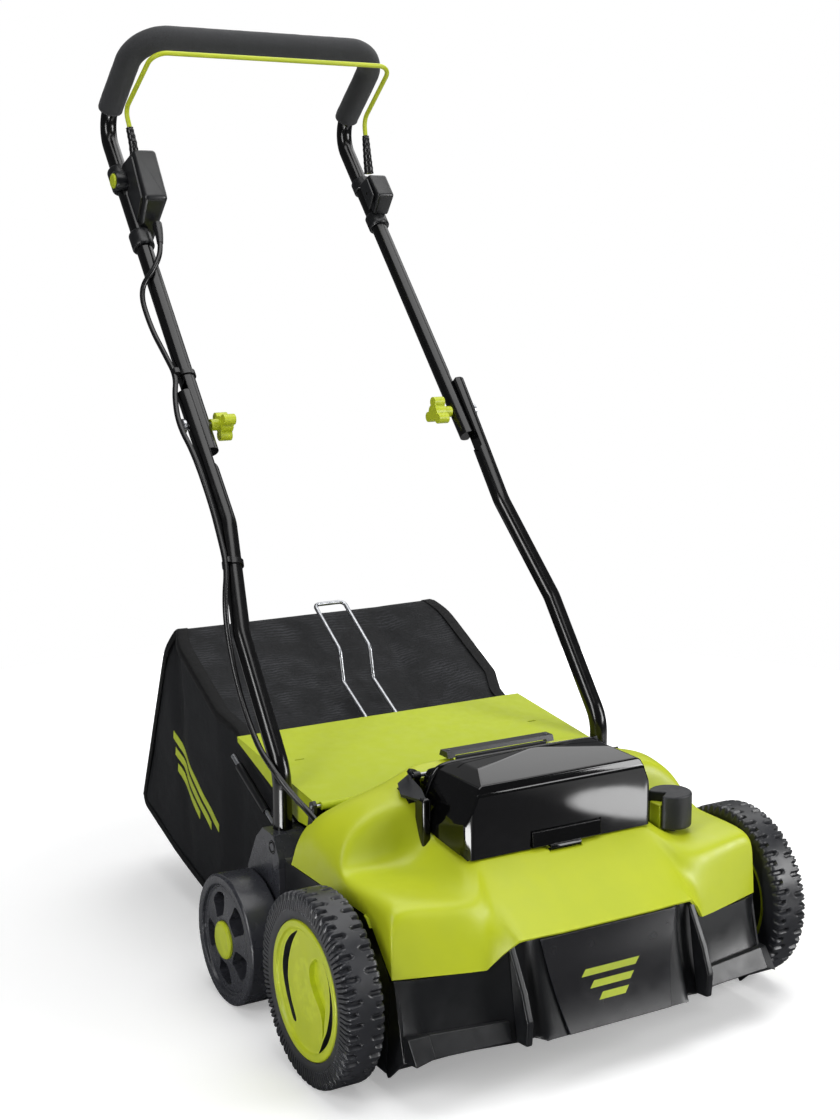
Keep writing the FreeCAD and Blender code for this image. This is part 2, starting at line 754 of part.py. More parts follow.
def bolt_hole():
    y, z = size.handle_pivot_y, size.handle_pivot_z
    return rod((-240, y, z), (-150, y, z), size.bolt_radius + size.running_gap)


def lower_handles():
    foot_z = size.socket_floor.value + 0.3
    x_foot, y_foot = -size.socket_x.value, size.socket_y.value
    points = [
        (x_foot, y_foot, foot_z), (x_foot, y_foot, 270.0), (-221.0, 310.8, 411.2), (-197.5, 397.0, 529.1),
        (-199.8, 517.0, 678.5),
    ]
    wire = route(points, [52, 60, 60])
    outer = pipe(wire, size.tube_radius)
    bore = pipe(wire, size.tube_radius - size.tube_wall)
    crimp = block((-230, 440, 590), (-170, 560, 720))
    tube = outer.cut(bore.cut(crimp))
    tube = tube.cut(block((-194.2, 440, 590), (-150, 560, 720))).cut(bolt_hole())
    shape_part("lower_handle_left", tube)
    shape_part("lower_handle_right", mirrored(tube))


def upper_path():
    return [
        (-188.4, 467.0, 608.6), (-182.5, 824.0, 1027.0), (-180.0, 698.7, 1132.4),
        (180.0, 698.7, 1132.4), (182.5, 824.0, 1027.0), (188.4, 467.0, 608.6),
    ]


def upper_handle():
    wire = route(upper_path(), [40, 46, 46, 40])
    outer = pipe(wire, size.tube_radius)
    bore = pipe(wire, size.tube_radius - size.tube_wall)
    crimp = block((-230, 440, 600), (230, 530, 670))
    tube = outer.cut(bore.cut(crimp))
    flat = block((-230, 440, 590), (-193.9, 530, 700))
    hole = bolt_hole()
    for cutter in (flat, mirrored(flat), hole, mirrored(hole)):
        tube = tube.cut(cutter)
    shape_part("upper_handle", tube)
    foam = pipe(wire, size.foam_radius).cut(pipe(wire, size.tube_radius + size.running_gap))
    foam = foam.common(block((-250, 600, 1041), (250, 900, 1200)))
    shape_part("grip_foam", foam)


def handle_hardware():
    y, z = size.handle_pivot_y, size.handle_pivot_z
    head = rod((-214.2, y, z), (-210.8, y, z), 9.5)
    shank = rod((-211, y, z), (-153, y, z), size.bolt_radius)
    shape_part("handle_bolts", both_sides(head.fuse(shank)))
    for name, side in (("left", -1), ("right", 1)):
        knob = new_body(f"star_knob_{name}")
        pad(knob, "XY", ("circle", (0, 0), 7.5), 0, 16)
        pad(knob, "XY", ("circle", (0, 0), 11), 12, 16)
        lobe = pad(knob, "XY", ("circle", (14, 0), 7), 12, 16)
        repeat_round(knob, lobe, "Z_Axis", 3)
        pocket(knob, "XY", ("circle", (0, 0), size.bolt_radius + size.running_gap), -1, 26)
        inward = Rotation(Vector(0, 1, 0), 90 if side < 0 else -90)
        place(knob, side * 176.6, y, z, inward)


def tube_clamp(centre, length, radius):
    """A collar round the left upper tube, along the tube's own line."""
    low, high = (Vector(*point) for point in upper_path()[:2])
    heading = (high - low).normalize()
    middle = Vector(*centre)
    middle = low + heading * ((middle - low).dot(heading))
    start = middle - heading * (length / 2)
    return Part.makeCylinder(radius, length, start, heading)


def tube_space():
    return pipe(route(upper_path()[:3], [40]), size.tube_radius + size.running_gap)


def switch_box():
    outline = [(712, 989), (769, 966), (724, 879), (703, 866), (671, 925)]
    box = prism("x", outline, -185, -152)
    clamps = [tube_clamp((-185, 758, 950), 34, 15.5), tube_clamp((-185, 688, 868), 26, 15)]
    collar = rod((-201.5, 742, 948), (-186, 742, 948), 13)
    shell = box.multiFuse(clamps + [collar]).removeSplitter()
    hollow = prism("x", [(713, 982), (757, 963), (720, 886), (705, 876), (679, 925)], -182, -155)
    keep_wall = tube_clamp((-185, 725, 912), 160, 13.5)
    bail_slot = block((-182, 713, 964), (-173, 744, 1000))
    button_well = rod((-203, 742, 948), (-197.4, 742, 948), 10.2)
    for cutter in (tube_space(), hollow.cut(keep_wall), bail_slot, button_well):
        shell = shell.cut(cutter)
    shape_part("switch_housing", shell)
    cover_outline = [(711, 979), (733, 969), (722, 945), (736, 912), (720, 884), (706, 876), (679, 925)]
    cover = prism("x", cover_outline, -188, -185.2).cut(tube_space())
    shape_part("switch_cover", largest(cover.cut(rod((-203, 742, 948), (-180, 742, 948), 13.2))))
    button = new_body("start_button")
    turn(button, [(0, 0), (0, 8), (1.2, 10), (4.5, 10), (4.5, 0)])
    place(button, -204.2, 742, 948)


def pivot_box():
    outline = [(708, 963), (741, 950), (703, 906), (683, 934)]
    box = prism("x", outline, 168, 198)
    clamps = [mirrored(tube_clamp((-185, 755, 947), 18, 15)), mirrored(tube_clamp((-185, 712, 896), 22, 15))]
    space = mirrored(tube_space())
    shell = box.multiFuse(clamps).removeSplitter()
    slot = block((173, 711, 930), (182, 744, 980))
    shape_part("pivot_housing", shell.cut(space).cut(slot))
    cover = prism("x", [(708, 957), (730, 948), (702, 914), (690, 934)], 165.8, 167.8)
    shape_part("pivot_cover", cover.cut(space).cut(rod((160, 708, 936), (170, 708, 936), 2)))


def bail():
    path = [
        (-177.5, 722.0, 968.0), (-177.5, 729.0, 1000.0), (-181.5, 743.0, 1042.0), (-176.0, 652.7, 1108.6),
        (176.0, 652.7, 1108.6), (181.5, 743.0, 1042.0), (177.5, 729.0, 1000.0), (177.5, 722.0, 968.0),
    ]
    wire = pipe(route(path, [50, 17, 22, 22, 17, 50]), size.bail_radius)
    pivot_y, pivot_z = size.bail_pivot_y, size.bail_pivot_z
    pin = rod((-181, pivot_y, pivot_z), (-174, pivot_y, pivot_z), size.bail_radius)
    shape_part("bail_bar", wire.multiFuse([pin, mirrored(pin)]))
    low, high = Vector(-177.5, 728.4, 997.0), Vector(-179.2, 735.0, 1017.0)
    boot = Part.makeCylinder(5.6, (high - low).Length, low, high - low)
    boot = boot.cut(pipe(route(path[:4], [50, 17]), size.bail_radius))
    shape_part("bail_boots", both_sides(boot))


CABLE_ROUTE = [
    (-168.0, 672.0, 884.5), (-171.0, 653.0, 862.0), (-186.0, 636.0, 836.0), (-211.0, 636.0, 806.0),
    (-208.0, 606.0, 758.0), (-205.0, 562.0, 722.0), (-205.0, 531.0, 699.0), (-216.5, 510.0, 676.0),
    (-222.5, 484.0, 643.0), (-217.5, 450.0, 611.0), (-214.0, 410.0, 556.0), (-215.5, 382.0, 519.0),
    (-219.5, 352.0, 484.0), (-232.0, 332.0, 452.0), (-238.0, 314.0, 414.0), (-240.0, 280.0, 352.0),
    (-240.5, 232.0, 300.0), (-238.0, 192.0, 278.0), (-227.0, 165.0, 254.0), (-217.0, 140.0, 238.0),
    (-217.0, 118.0, 230.0),
]


def cable():
    radii = corner_radii(CABLE_ROUTE)
    wire = route(CABLE_ROUTE, radii)
    tube = pipe(wire, size.cable_radius)
    ideal = math.pi * size.cable_radius.value ** 2 * wire.Length
    print("cable length", round(wire.Length, 1), "volume ratio", round(tube.Volume / ideal, 4))
    print("cable radii", [round(radius) for radius in radii])
    shape_part("cable", tube)
    start = Vector(*CABLE_ROUTE[0])
    back = (start - Vector(*CABLE_ROUTE[1])).normalize()
    gland = Part.makeCylinder(6.2, 9, start, back)
    housing = document.getObject("switch_housing").Shape.translated(Vector(0, -size.shift_y.value, 0))
    shape_part("cable_gland", gland.cut(housing))


def cable_clip(label, tube_point, cable_point, heading):
    """A strap: one ring round the tube joined to one round the cable."""
    heading = Vector(*heading).normalize()
    tube_point, cable_point = Vector(*tube_point), Vector(*cable_point)
    cable_point = cable_point + heading * ((tube_point - cable_point).dot(heading))
    width = 7.0
    tube_radius, cable_radius = size.tube_radius.value, size.cable_radius.value
    half = heading * (width / 2)
    tube_ring = Part.makeCylinder(tube_radius + 2.2, width, tube_point - half, heading)
    cable_ring = Part.makeCylinder(cable_radius + 2.0, width, cable_point - half, heading)
    bore = Part.makeCylinder(tube_radius + 0.05, width * 3, tube_point - half * 3, heading)
    strap = tube_ring.fuse(cable_ring).cut(bore)
    cable_space = pipe(route(CABLE_ROUTE, corner_radii(CABLE_ROUTE)), size.cable_radius + 0.1)
    shape_part(label, strap.cut(cable_space))


def cable_clips():
    upper_low, upper_high = (Vector(*point) for point in upper_path()[:2])
    heading = (upper_high - upper_low).normalize()
    tube_point = upper_low + heading * 118
    cable_clip("cable_clip_upper", tube_point, (-203.0, 532.0, 699.0), heading)
    low, high = Vector(-221.0, 310.8, 411.2), Vector(-197.5, 397.0, 529.1)
    heading = (high - low).normalize()
    tube_point = low + heading * 92
    cable_clip("cable_clip_lower", tube_point, (-216.5, 354.0, 484.0), heading)


# ---- hatch, latch and knob -------------------------------------------------------------------

def hatch_shell(grow):
    """The hatch's outside, or its inside when grow is minus the wall."""
    side_profile = [
        (-37 - grow, 214), (-37 - grow, 290), (-33 - grow * 0.8, 299 + grow * 0.8), (22, 313 + grow),
        (70, 292 + grow), (72 + grow, 286), (72 + grow, 214),
    ]
    front_profile = [
        (-127 - grow, 214), (-127 - grow, 246), (-107 - grow, 297 + grow * 0.5), (-88, 307 + grow),
        (0, 313 + grow), (88, 307 + grow), (107 + grow, 297 + grow * 0.5), (127 + grow, 246), (127 + grow, 214),
    ]
    plan = [
        (-127 - grow, 76), (-127 - grow, 20), (-122 - grow, -38 - grow),
        (122 + grow, -38 - grow), (127 + grow, 20), (127 + grow, 76),
    ]
    block_x = prism("x", side_profile, -130, 130)
    block_y = prism("y", front_profile, -45, 80)
    block_z = prism("z", plan, 210, 320)
    return block_x.common(block_y).common(block_z)


def battery_hatch():
    wall = size.hatch_wall.value
    shell = hatch_shell(0.0).cut(hatch_shell(-wall).fuse(block((-123, -33, 200), (123, 68, 232))))
    # no rear wall below the hinge line, where it would swing into the battery packs
    shell = shell.cut(block((-123, 60, 200), (123, 80, 277)))
    # the lower rim rises towards the rear, as the cover below it does
    rim = [(-50, 205), (-50, 220.5), (-36, 220.5), (-30, 222), (29, 233.5), (90, 237), (90, 205)]
    below = prism("x", rim, -135, 135)
    ear_room = both_sides(block((115, 68, 228), (125, 82, 292)))
    shell = shell.cut(below).cut(ear_room)
    web = prism("x", [(66, 285), (75, 289.4), (75, 280.6), (69, 278)], 96, 115)
    knuckles = both_sides(hinge_rod(96, 115, 4.5).fuse(web))
    pin_hole = hinge_rod(-130, 130, size.hatch_pin_radius + size.running_gap)
    shell = shell.fuse(knuckles).cut(pin_hole)
    latch_room = block((-42.5, -45, 213), (50.5, -35.2, 240.5))
    shape_part("battery_hatch", shell.cut(latch_room).removeSplitter())
    shape_part("hatch_pin", hinge_rod(-125, 125, size.hatch_pin_radius))


def hatch_latch():
    body = new_body("hatch_latch")
    pad(body, "YZ", [(-38.5, 238.5), (-41, 222), (-39, 221.2), (-35.6, 221.2), (-35.6, 238.5)], -41, 90)
    pad(body, "YZ", [(-42.5, 222), (-43.5, 218), (-36, 219.8), (-36, 222)], -19, 40)
    place(body)


def depth_knob():
    knob = new_body("depth_knob")
    radius = size.knob_radius
    pad(knob, "XY", ("circle", (0, 0), radius), 0, size.knob_tall)
    pocket(knob, "XY", [(-26, 3), (-26, -26), (3, -26), (3, 3)], 4, 60)
    pad(knob, "XY", ("circle", (0, 0), 6.5), -42, 43)
    pad(knob, "XY", ("circle", (4, 0), 17), -44, 6)
    place(knob, size.knob_x, size.knob_y, size.knob_z)
    insert = new_body("depth_knob_insert")
    pad(insert, "XY", ("circle", (0, 0), radius - 0.6), 4.1, size.knob_tall - 12)
    pocket(insert, "XY", [(2.8, -40), (40, -40), (40, 40), (-40, 40), (-40, 2.8), (2.8, 2.8)], 3, 60)
    place(insert, size.knob_x, size.knob_y, size.knob_z)


# ---- flap ------------------------------------------------------------------------------------

def rear_flap():
    body = new_body("rear_flap")
    half, gauge = size.flap_half_width, size.flap_sheet
    front_y, rear_y = 153, 365
    front_z, rear_z = 244.9, 270.4
    plate = [(front_y, front_z), (rear_y, rear_z), (rear_y, rear_z - gauge), (front_y, front_z - gauge)]
    pad(body, "YZ", plate, -half, half * 2)
    flange = [(154.5, 243), (364, 268), (364, 264), (198, 211), (160, 213)]
    for start in (-half, half - gauge):
        pad(body, "YZ", flange, start, gauge)
    hinge_line = (size.flap_hinge_y, size.flap_hinge_z)
    for start in (-201, 158):
        pad(body, "YZ", ("circle", hinge_line, 4.6), start, 43)
        pocket(body, "YZ", ("circle", hinge_line, size.flap_rod_radius + size.running_gap), start - 1, 45)
    for x in (-166, 166):
        pocket(body, "XY", rectangle(x - 6, 271.5, x + 6, 274), 240, 40)
    place(body)
    y, z = size.flap_hinge_y, size.flap_hinge_z
    shape_part("flap_rod", rod((-213, y, z), (213, y, z), size.flap_rod_radius))
    spring = rod((110, y, z), (146, y, z), 3.6).cut(rod((109, y, z), (147, y, z), 2.1))
    shape_part("flap_springs", both_sides(spring))


# ---- catcher ---------------------------------------------------------------------------------

def frame_ring():
    half = 188.0
    corners = [(-half, 271.5, 229.0), (half, 271.5, 229.0), (half, 296.0, 40.0), (-half, 296.0, 40.0)]
    middle_top = (0.0, 271.5, 229.0)
    path = [middle_top] + [corners[1], corners[2], corners[3], corners[0]] + [middle_top]
    return pipe(route(path, [22, 22, 22, 22]), size.frame_wire_radius)


def side_wire():
    return rod((-201.5, 270, 187), (-201.5, 386, 240.1), size.frame_wire_radius)


def catcher_frame():
    link = rod((-187, 277.3, 187), (-201.5, 277.3, 190.3), 2.6)
    side = side_wire().fuse(link)
    shape_part("catcher_frame", frame_ring().multiFuse([side, mirrored(side)]))
    heading = Vector(0, 116, 53.1).normalize()
    start = Vector(-201.5, 270, 187) + heading * 22
    sleeve = Part.makeCylinder(5.2, 86, start, heading)
    sleeve = sleeve.cut(rod((-201.5, 270, 187), (-201.5, 386, 240.1), size.frame_wire_radius + 0.05))
    shape_part("catcher_clips", both_sides(sleeve))


def wire_handle():
    half = size.wire_handle_half_width.value
    leg = [(274.0, 236.0), (300.0, 246.0), (368.0, 264.0), (433.0, 299.5), (443.0, 341.0), (516.0, 388.5)]
    path = [(-half, y, z) for y, z in leg] + [(half, y, z) for y, z in reversed(leg)]
    radii = [40, 40, 12, 12, 7, 7, 12, 12, 40, 40]
    shape_part("catcher_handle", pipe(route(path, radii), size.handle_wire_radius))


def bag_block(shrink):
    """The bag's outside, or its inside, which runs on forwards so that the mouth stays open."""
    forward = 30 if shrink else 0
    side = [
        (277.5 - forward, 224 - shrink), (365, 258.5 - shrink), (574, 366 - shrink), (582, 362 - shrink),
        (697 - shrink, 106), (689 - shrink, 92 + shrink), (506, 44 + shrink), (362, 17 + shrink),
        (303 - forward, 35 + shrink),
    ]
    wide, narrow = size.bag_half_width.value - shrink, size.bag_front_half_width.value - shrink
    plan = [(narrow, 230), (narrow, 392), (wide, 424), (wide, 576), (wide - 5, 720)]
    plan = plan + [(-x, y) for x, y in reversed(plan)]
    return prism("x", side, -230, 230).common(prism("z", plan, 0, 400))


def catcher_bag():
    shape_part("catcher_bag", bag_block(0.0).cut(bag_block(size.bag_wall.value)))


def housing_screws():
    heads = []
    for side in (-1, 1):
        heads.append(rod((side * 240.05, 189, 190), (side * 243.2, 189, 190), 4.6))
        heads.append(rod((side * 66, 96, 296.6), (side * 66, 96, 301.2), 2.5))
    shape_part("housing_screws", Part.Compound(heads))


# ---- the whole machine -----------------------------------------------------------------------

def build_all():
    lower_housing()
    front_apron()
    apron_panel()
    top_cover()
    battery_bezel()
    battery_tray()
    battery_packs()
    carry_bar()
    motor()
    pulley("rotor_pulley", size.rotor_pulley_radius, size.rotor_shaft_radius, size.rotor_y, size.rotor_z)
    drive_belt()
    belt_cover()
    controller_box()
    rotor()
    for name, side in (("left", -1), ("right", 1)):
        front_wheel(name, side)
        rear_wheel(name, side)
        rear_bracket(name, side)
    front_axle()
    rear_axle()
    lower_handles()
    upper_handle()
    handle_hardware()
    switch_box()
    pivot_box()
    bail()
    cable()
    cable_clips()
    battery_hatch()
    hatch_latch()
    depth_knob()
    rear_flap()
    catcher_frame()
    wire_handle()
    catcher_bag()
    housing_screws()


def check_and_write():
    document.recompute()
    for item in document.Objects:
        if "Invalid" in item.State or "Error" in item.State:
            raise RuntimeError(f"{item.Label} is {item.State}")
    for feature in cut_features:
        base = feature.BaseFeature.Shape
        if feature.Shape.Volume > base.Volume - 1.0:
            raise RuntimeError(f"{feature.Label} cuts nothing")
    os.makedirs("parts", exist_ok=True)
    whole = FreeCAD.BoundBox()
    for item in sub_parts:
        shape = item.Shape
        if shape.isNull() or not shape.isValid():
            raise RuntimeError(f"{item.Label} has no valid shape")
        whole.add(shape.BoundBox)
        shape.exportStep(f"parts/{item.Label}.step")
    print(len(sub_parts), "sub-parts; y from", round(whole.YMin, 2), "to", round(whole.YMax, 2))
    print("x", round(whole.XMin, 2), round(whole.XMax, 2), "z", round(whole.ZMin, 2), round(whole.ZMax, 2))


build_all()
check_and_write()
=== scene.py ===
import json
import math

import bmesh
import bpy
import numpy as np
from mathutils import Matrix, Vector, noise

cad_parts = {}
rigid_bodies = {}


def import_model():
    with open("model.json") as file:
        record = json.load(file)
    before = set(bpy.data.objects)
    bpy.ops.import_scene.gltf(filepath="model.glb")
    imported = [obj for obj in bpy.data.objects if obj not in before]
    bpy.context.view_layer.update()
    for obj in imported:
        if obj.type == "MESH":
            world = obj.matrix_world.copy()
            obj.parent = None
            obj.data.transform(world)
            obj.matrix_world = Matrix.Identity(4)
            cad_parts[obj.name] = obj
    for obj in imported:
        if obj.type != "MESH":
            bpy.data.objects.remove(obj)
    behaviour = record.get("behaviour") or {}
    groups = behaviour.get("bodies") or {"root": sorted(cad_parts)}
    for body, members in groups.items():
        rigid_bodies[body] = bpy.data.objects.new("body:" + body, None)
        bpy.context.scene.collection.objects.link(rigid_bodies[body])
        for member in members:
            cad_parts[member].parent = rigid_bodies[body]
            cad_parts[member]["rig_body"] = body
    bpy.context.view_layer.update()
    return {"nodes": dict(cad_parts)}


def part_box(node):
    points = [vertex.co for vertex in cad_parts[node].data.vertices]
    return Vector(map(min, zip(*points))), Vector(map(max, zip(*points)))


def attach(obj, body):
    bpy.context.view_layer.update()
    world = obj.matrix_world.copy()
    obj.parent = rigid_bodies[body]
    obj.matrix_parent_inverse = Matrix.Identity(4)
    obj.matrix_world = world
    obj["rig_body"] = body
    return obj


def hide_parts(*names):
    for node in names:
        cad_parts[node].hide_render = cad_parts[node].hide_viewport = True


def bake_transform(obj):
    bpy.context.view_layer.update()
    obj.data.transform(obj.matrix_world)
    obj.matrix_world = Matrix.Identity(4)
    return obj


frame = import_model()
nodes = frame["nodes"]
scene = bpy.context.scene

# A battery lawn dethatcher. Sizes below are in millimetres in the deck frame: x from the centre
# plane, y from the front wheels' centre, z from the ground.
disc_low, disc_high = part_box("front_disc_left")
WHEEL_Y = (disc_low.y + disc_high.y) / 2
SIDES = (("left", -1), ("right", 1))


def at(x, y, z):
    """A place in the frame's metres."""
    return Vector((x / 1000, y / 1000 + WHEEL_Y, z / 1000))


def mirrored(points):
    return [(-x, y, z) for x, y, z in points]


# ---- camera, light and floor -----------------------------------------------------------------

def aim(obj, target):
    obj.rotation_euler = (Vector(target) - obj.location).to_track_quat("-Z", "Y").to_euler()


# the photographer's place in metres, how far the camera looks down and turns in radians, its lens in
# millimetres and the shift of its picture
CAMERA_PLACE = (-1.0453, -1.8621, 0.8611)
CAMERA_DOWN, CAMERA_TURN = 0.1662, -0.538
CAMERA_LENS = 55.88
CAMERA_SHIFT = (-0.0180, -0.0194)


def make_camera():
    data = bpy.data.cameras.new("camera")
    camera = bpy.data.objects.new("camera", data)
    scene.collection.objects.link(camera)
    camera.location = CAMERA_PLACE
    camera.rotation_euler = (math.pi / 2 - CAMERA_DOWN, 0, CAMERA_TURN)
    data.lens = CAMERA_LENS
    data.sensor_width = 36
    data.shift_x, data.shift_y = CAMERA_SHIFT
    data.clip_end = 60
    scene.camera = camera


def area_light(name, place, target, width, height, power):
    data = bpy.data.lights.new(name, "AREA")
    data.shape = "RECTANGLE"
    data.size, data.size_y = width, height
    data.energy = power
    light = bpy.data.objects.new(name, data)
    scene.collection.objects.link(light)
    light.location = place
    aim(light, target)


def make_world():
    world = bpy.data.worlds.new("studio")
    scene.world = world
    world.use_nodes = True
    tree = world.node_tree
    tree.nodes.clear()
    output = tree.nodes.new("ShaderNodeOutputWorld")
    mix = tree.nodes.new("ShaderNodeMixShader")
    path = tree.nodes.new("ShaderNodeLightPath")
    tree.links.new(path.outputs["Is Camera Ray"], mix.inputs[0])
    # a dim room that lights the machine, and the white that the camera sees
    for slot, colour, strength in ((1, (0.55, 0.56, 0.58, 1), 0.16), (2, (1, 1, 1, 1), 1.0)):
        background = tree.nodes.new("ShaderNodeBackground")
        background.inputs["Color"].default_value = colour
        background.inputs["Strength"].default_value = strength
        tree.links.new(background.outputs[0], mix.inputs[slot])
    tree.links.new(mix.outputs[0], output.inputs["Surface"])


FLOOR_RADIUS = 1.6
FLOOR_WHITE = (0.9, 0.9, 0.9, 1)
FLOOR_FLAG = (0.12, 0.12, 0.13, 1)
# place on the floor, radius and strength of the lights that only polished faces show: one for the
# hatch's left corner and one for its right
STRIPS = (((-0.72, -0.6, 0), 0.2, 20.0), ((0.6, -1.02, 0), 0.14, 9.0))


def make_floor():
    mesh = bpy.data.meshes.new("floor")
    builder = bmesh.new()
    bmesh.ops.create_circle(builder, cap_ends=True, radius=FLOOR_RADIUS, segments=128)
    builder.to_mesh(mesh)
    builder.free()
    floor = bpy.data.objects.new("floor", mesh)
    scene.collection.objects.link(floor)
    finish = Finish("floor", 0.6, Specular_IOR_Level=0.15, Emission_Color=(1, 1, 1, 1))
    seen = finish.node("ShaderNodeLightPath").outputs
    # the floor glows a little more with distance, so that it runs into the white background
    reach = finish.node("ShaderNodeVectorMath", {0: finish.place}, operation="LENGTH").outputs["Value"]
    glow = finish.maths("MULTIPLY", finish.remap(reach, 0.55, 1.5, 0.3, 1.0), seen["Is Camera Ray"])
    for spot, radius, power in STRIPS:
        gap = finish.node("ShaderNodeVectorMath", {0: finish.place, 1: spot}, operation="DISTANCE")
        strip = finish.remap(gap.outputs["Value"], radius, radius - 0.03, 0.0, power)
        glow = finish.maths("ADD", finish.maths("MULTIPLY", strip, seen["Is Glossy Ray"]), glow)
    finish.set("Emission Strength", glow)
    # a dark flag in front: polished black faces mirror little of the middle of the floor
    across = finish.node("ShaderNodeSeparateXYZ", {0: finish.place}).outputs["X"]
    left, right = finish.remap(across, -0.3, -0.55, 0.0, 1.0), finish.remap(across, 0.45, 0.72, 0.0, 0.8)
    mirrored = finish.blend(finish.maths("ADD", left, right), FLOOR_FLAG, FLOOR_WHITE)
    finish.set("Base Color", finish.blend(seen["Is Glossy Ray"], FLOOR_WHITE, mirrored))
    mesh.materials.append(finish.material)


# name, place, target, width, height, power
LIGHTS = (
    ("top_soft", (0.2, -0.3, 2.9), (0, 0, 0.3), 2.6, 2.2, 47),
    ("front_right", (2.3, -2.2, 1.5), (0.1, -0.3, 0.3), 1.0, 1.5, 48),
    ("front_left", (-2.6, -1.1, 1.6), (0, -0.1, 0.4), 0.7, 1.9, 38),
    ("back", (0.9, 3.4, 2.6), (0, 0, 0.3), 5.0, 2.6, 10),
    ("high_right", (1.7, 1.2, 2.3), (0, -0.3, 0.3), 2.2, 1.6, 19),
    ("low_front", (2.0, -2.6, 0.95), (0.1, -0.4, 0.1), 1.5, 0.5, 16),
)


def make_stage():
    make_camera()
    make_world()
    make_floor()
    for light in LIGHTS:
        area_light(*light)
    scene.view_settings.view_transform = "Standard"


# ---- materials -------------------------------------------------------------------------------

def srgb(red, green, blue):
    """A colour given as on a screen, 0 to 255, in the linear values that a shader takes."""
    def linear(value):
        value /= 255
        return value / 12.92 if value <= 0.04045 else ((value + 0.055) / 1.055) ** 2.4
    return (linear(red), linear(green), linear(blue), 1.0)


class Finish:
    """A procedural material around one Principled shader."""

    def __init__(self, name, roughness, **fixed):
        self.material = bpy.data.materials.new(name)
        self.material.use_nodes = True
        self.tree = self.material.node_tree
        self.shader = self.tree.nodes["Principled BSDF"]
        self.shader.inputs["Roughness"].default_value = roughness
        for socket, value in fixed.items():
            self.shader.inputs[socket.replace("_", " ")].default_value = value
        self.place = self.node("ShaderNodeTexCoord").outputs["Object"]

    def node(self, kind, inputs=None, **settings):
        made = self.tree.nodes.new(kind)
        for key, value in settings.items():
            setattr(made, key, value)
        for key, value in (inputs or {}).items():
            if isinstance(value, bpy.types.NodeSocket):
                self.tree.links.new(value, made.inputs[key])
            else:
                made.inputs[key].default_value = value
        return made

    def noise(self, size, detail=2.0, stretch=(1, 1, 1), rough=0.5):
        """Noise whose blobs are about size millimetres."""
        mapping = self.node("ShaderNodeMapping", {"Vector": self.place, "Scale": stretch})
        made = self.node("ShaderNodeTexNoise", {
            "Vector": mapping.outputs[0], "Scale": 1000 / size, "Detail": detail, "Roughness": rough,
        })
        return made.outputs["Fac"]

    def remap(self, value, low, high, to_low, to_high):
        made = self.node("ShaderNodeMapRange", {
            "Value": value, "From Min": low, "From Max": high, "To Min": to_low, "To Max": to_high,
        })
        return made.outputs["Result"]

    def maths(self, operation, first, second=0.0):
        return self.node("ShaderNodeMath", {0: first, 1: second}, operation=operation).outputs[0]

    def blend(self, factor, first, second):
        made = self.node("ShaderNodeMix", {"Factor": factor, "A": first, "B": second}, data_type="RGBA")
        return made.outputs["Result"]

    def edge_wear_and_highlight(self, amount=1.0):
        """0 on flat ground and up to amount along sharp outer edges: partly scuffs, partly painted highlight.
        """
        sharp = self.node("ShaderNodeNewGeometry").outputs["Pointiness"]
        patches = self.remap(self.noise(9, 3), 0.4, 0.65, 0.2, 1.0)
        return self.maths("MULTIPLY", self.remap(sharp, 0.52, 0.62, 0.0, amount), patches)

    def bump(self, height, depth, onto=None):
        """depth in millimetres."""
        inputs = {"Height": height, "Distance": depth / 1000, "Strength": 1.0}
        if onto is not None:
            inputs["Normal"] = onto
        return self.node("ShaderNodeBump", inputs).outputs["Normal"]

    def set(self, socket, value):
        self.tree.links.new(value, self.shader.inputs[socket])


def plastic(name, colour, other, roughness, grain=0.03, grain_size=0.9, wave=0.12, edge=None, wear=0.55,
            **fixed):
    """Moulded plastic: two close tones, a fine grain, a faint waviness and lighter edges that are partly
    scuffs and partly painted highlight.
    """
    finish = Finish(name, roughness, **fixed)
    tone = finish.blend(finish.remap(finish.noise(38, 3), 0.35, 0.65, 0, 1), colour, other)
    specks = finish.remap(finish.noise(2.2, 4, rough=0.7), 0.64, 0.76, 0, 0.12)
    # light is the paler colour of the specks and the edges; on the edges it is partly scuffs and partly
    # painted highlight
    light = edge or tuple(min(1.0, value * 1.25 + 0.006) for value in colour[:3]) + (1,)
    tone = finish.blend(specks, tone, light)
    finish.set("Base Color", finish.blend(finish.edge_wear_and_highlight(wear), tone, light) if wear else tone)
    patchy = finish.remap(finish.noise(16, 4), 0.3, 0.7, roughness * 0.86, roughness * 1.16)
    finish.set("Roughness", patchy)
    fine = finish.bump(finish.noise(grain_size, 2), grain)
    finish.set("Normal", finish.bump(finish.noise(24, 1), wave, fine))
    return finish.material


def metal(name, colour, other, roughness, scratch=0.01, **fixed):
    """Bare metal: two close tones, an uneven shine and a fine grain."""
    finish = Finish(name, roughness, Metallic=1.0, **fixed)
    finish.set("Base Color", finish.blend(finish.remap(finish.noise(7, 4), 0.3, 0.7, 0, 1), colour, other))
    finish.set("Roughness", finish.remap(finish.noise(3, 3), 0.3, 0.7, roughness * 0.7, roughness * 1.4))
    finish.set("Normal", finish.bump(finish.noise(0.8, 2), scratch))
    return finish.material


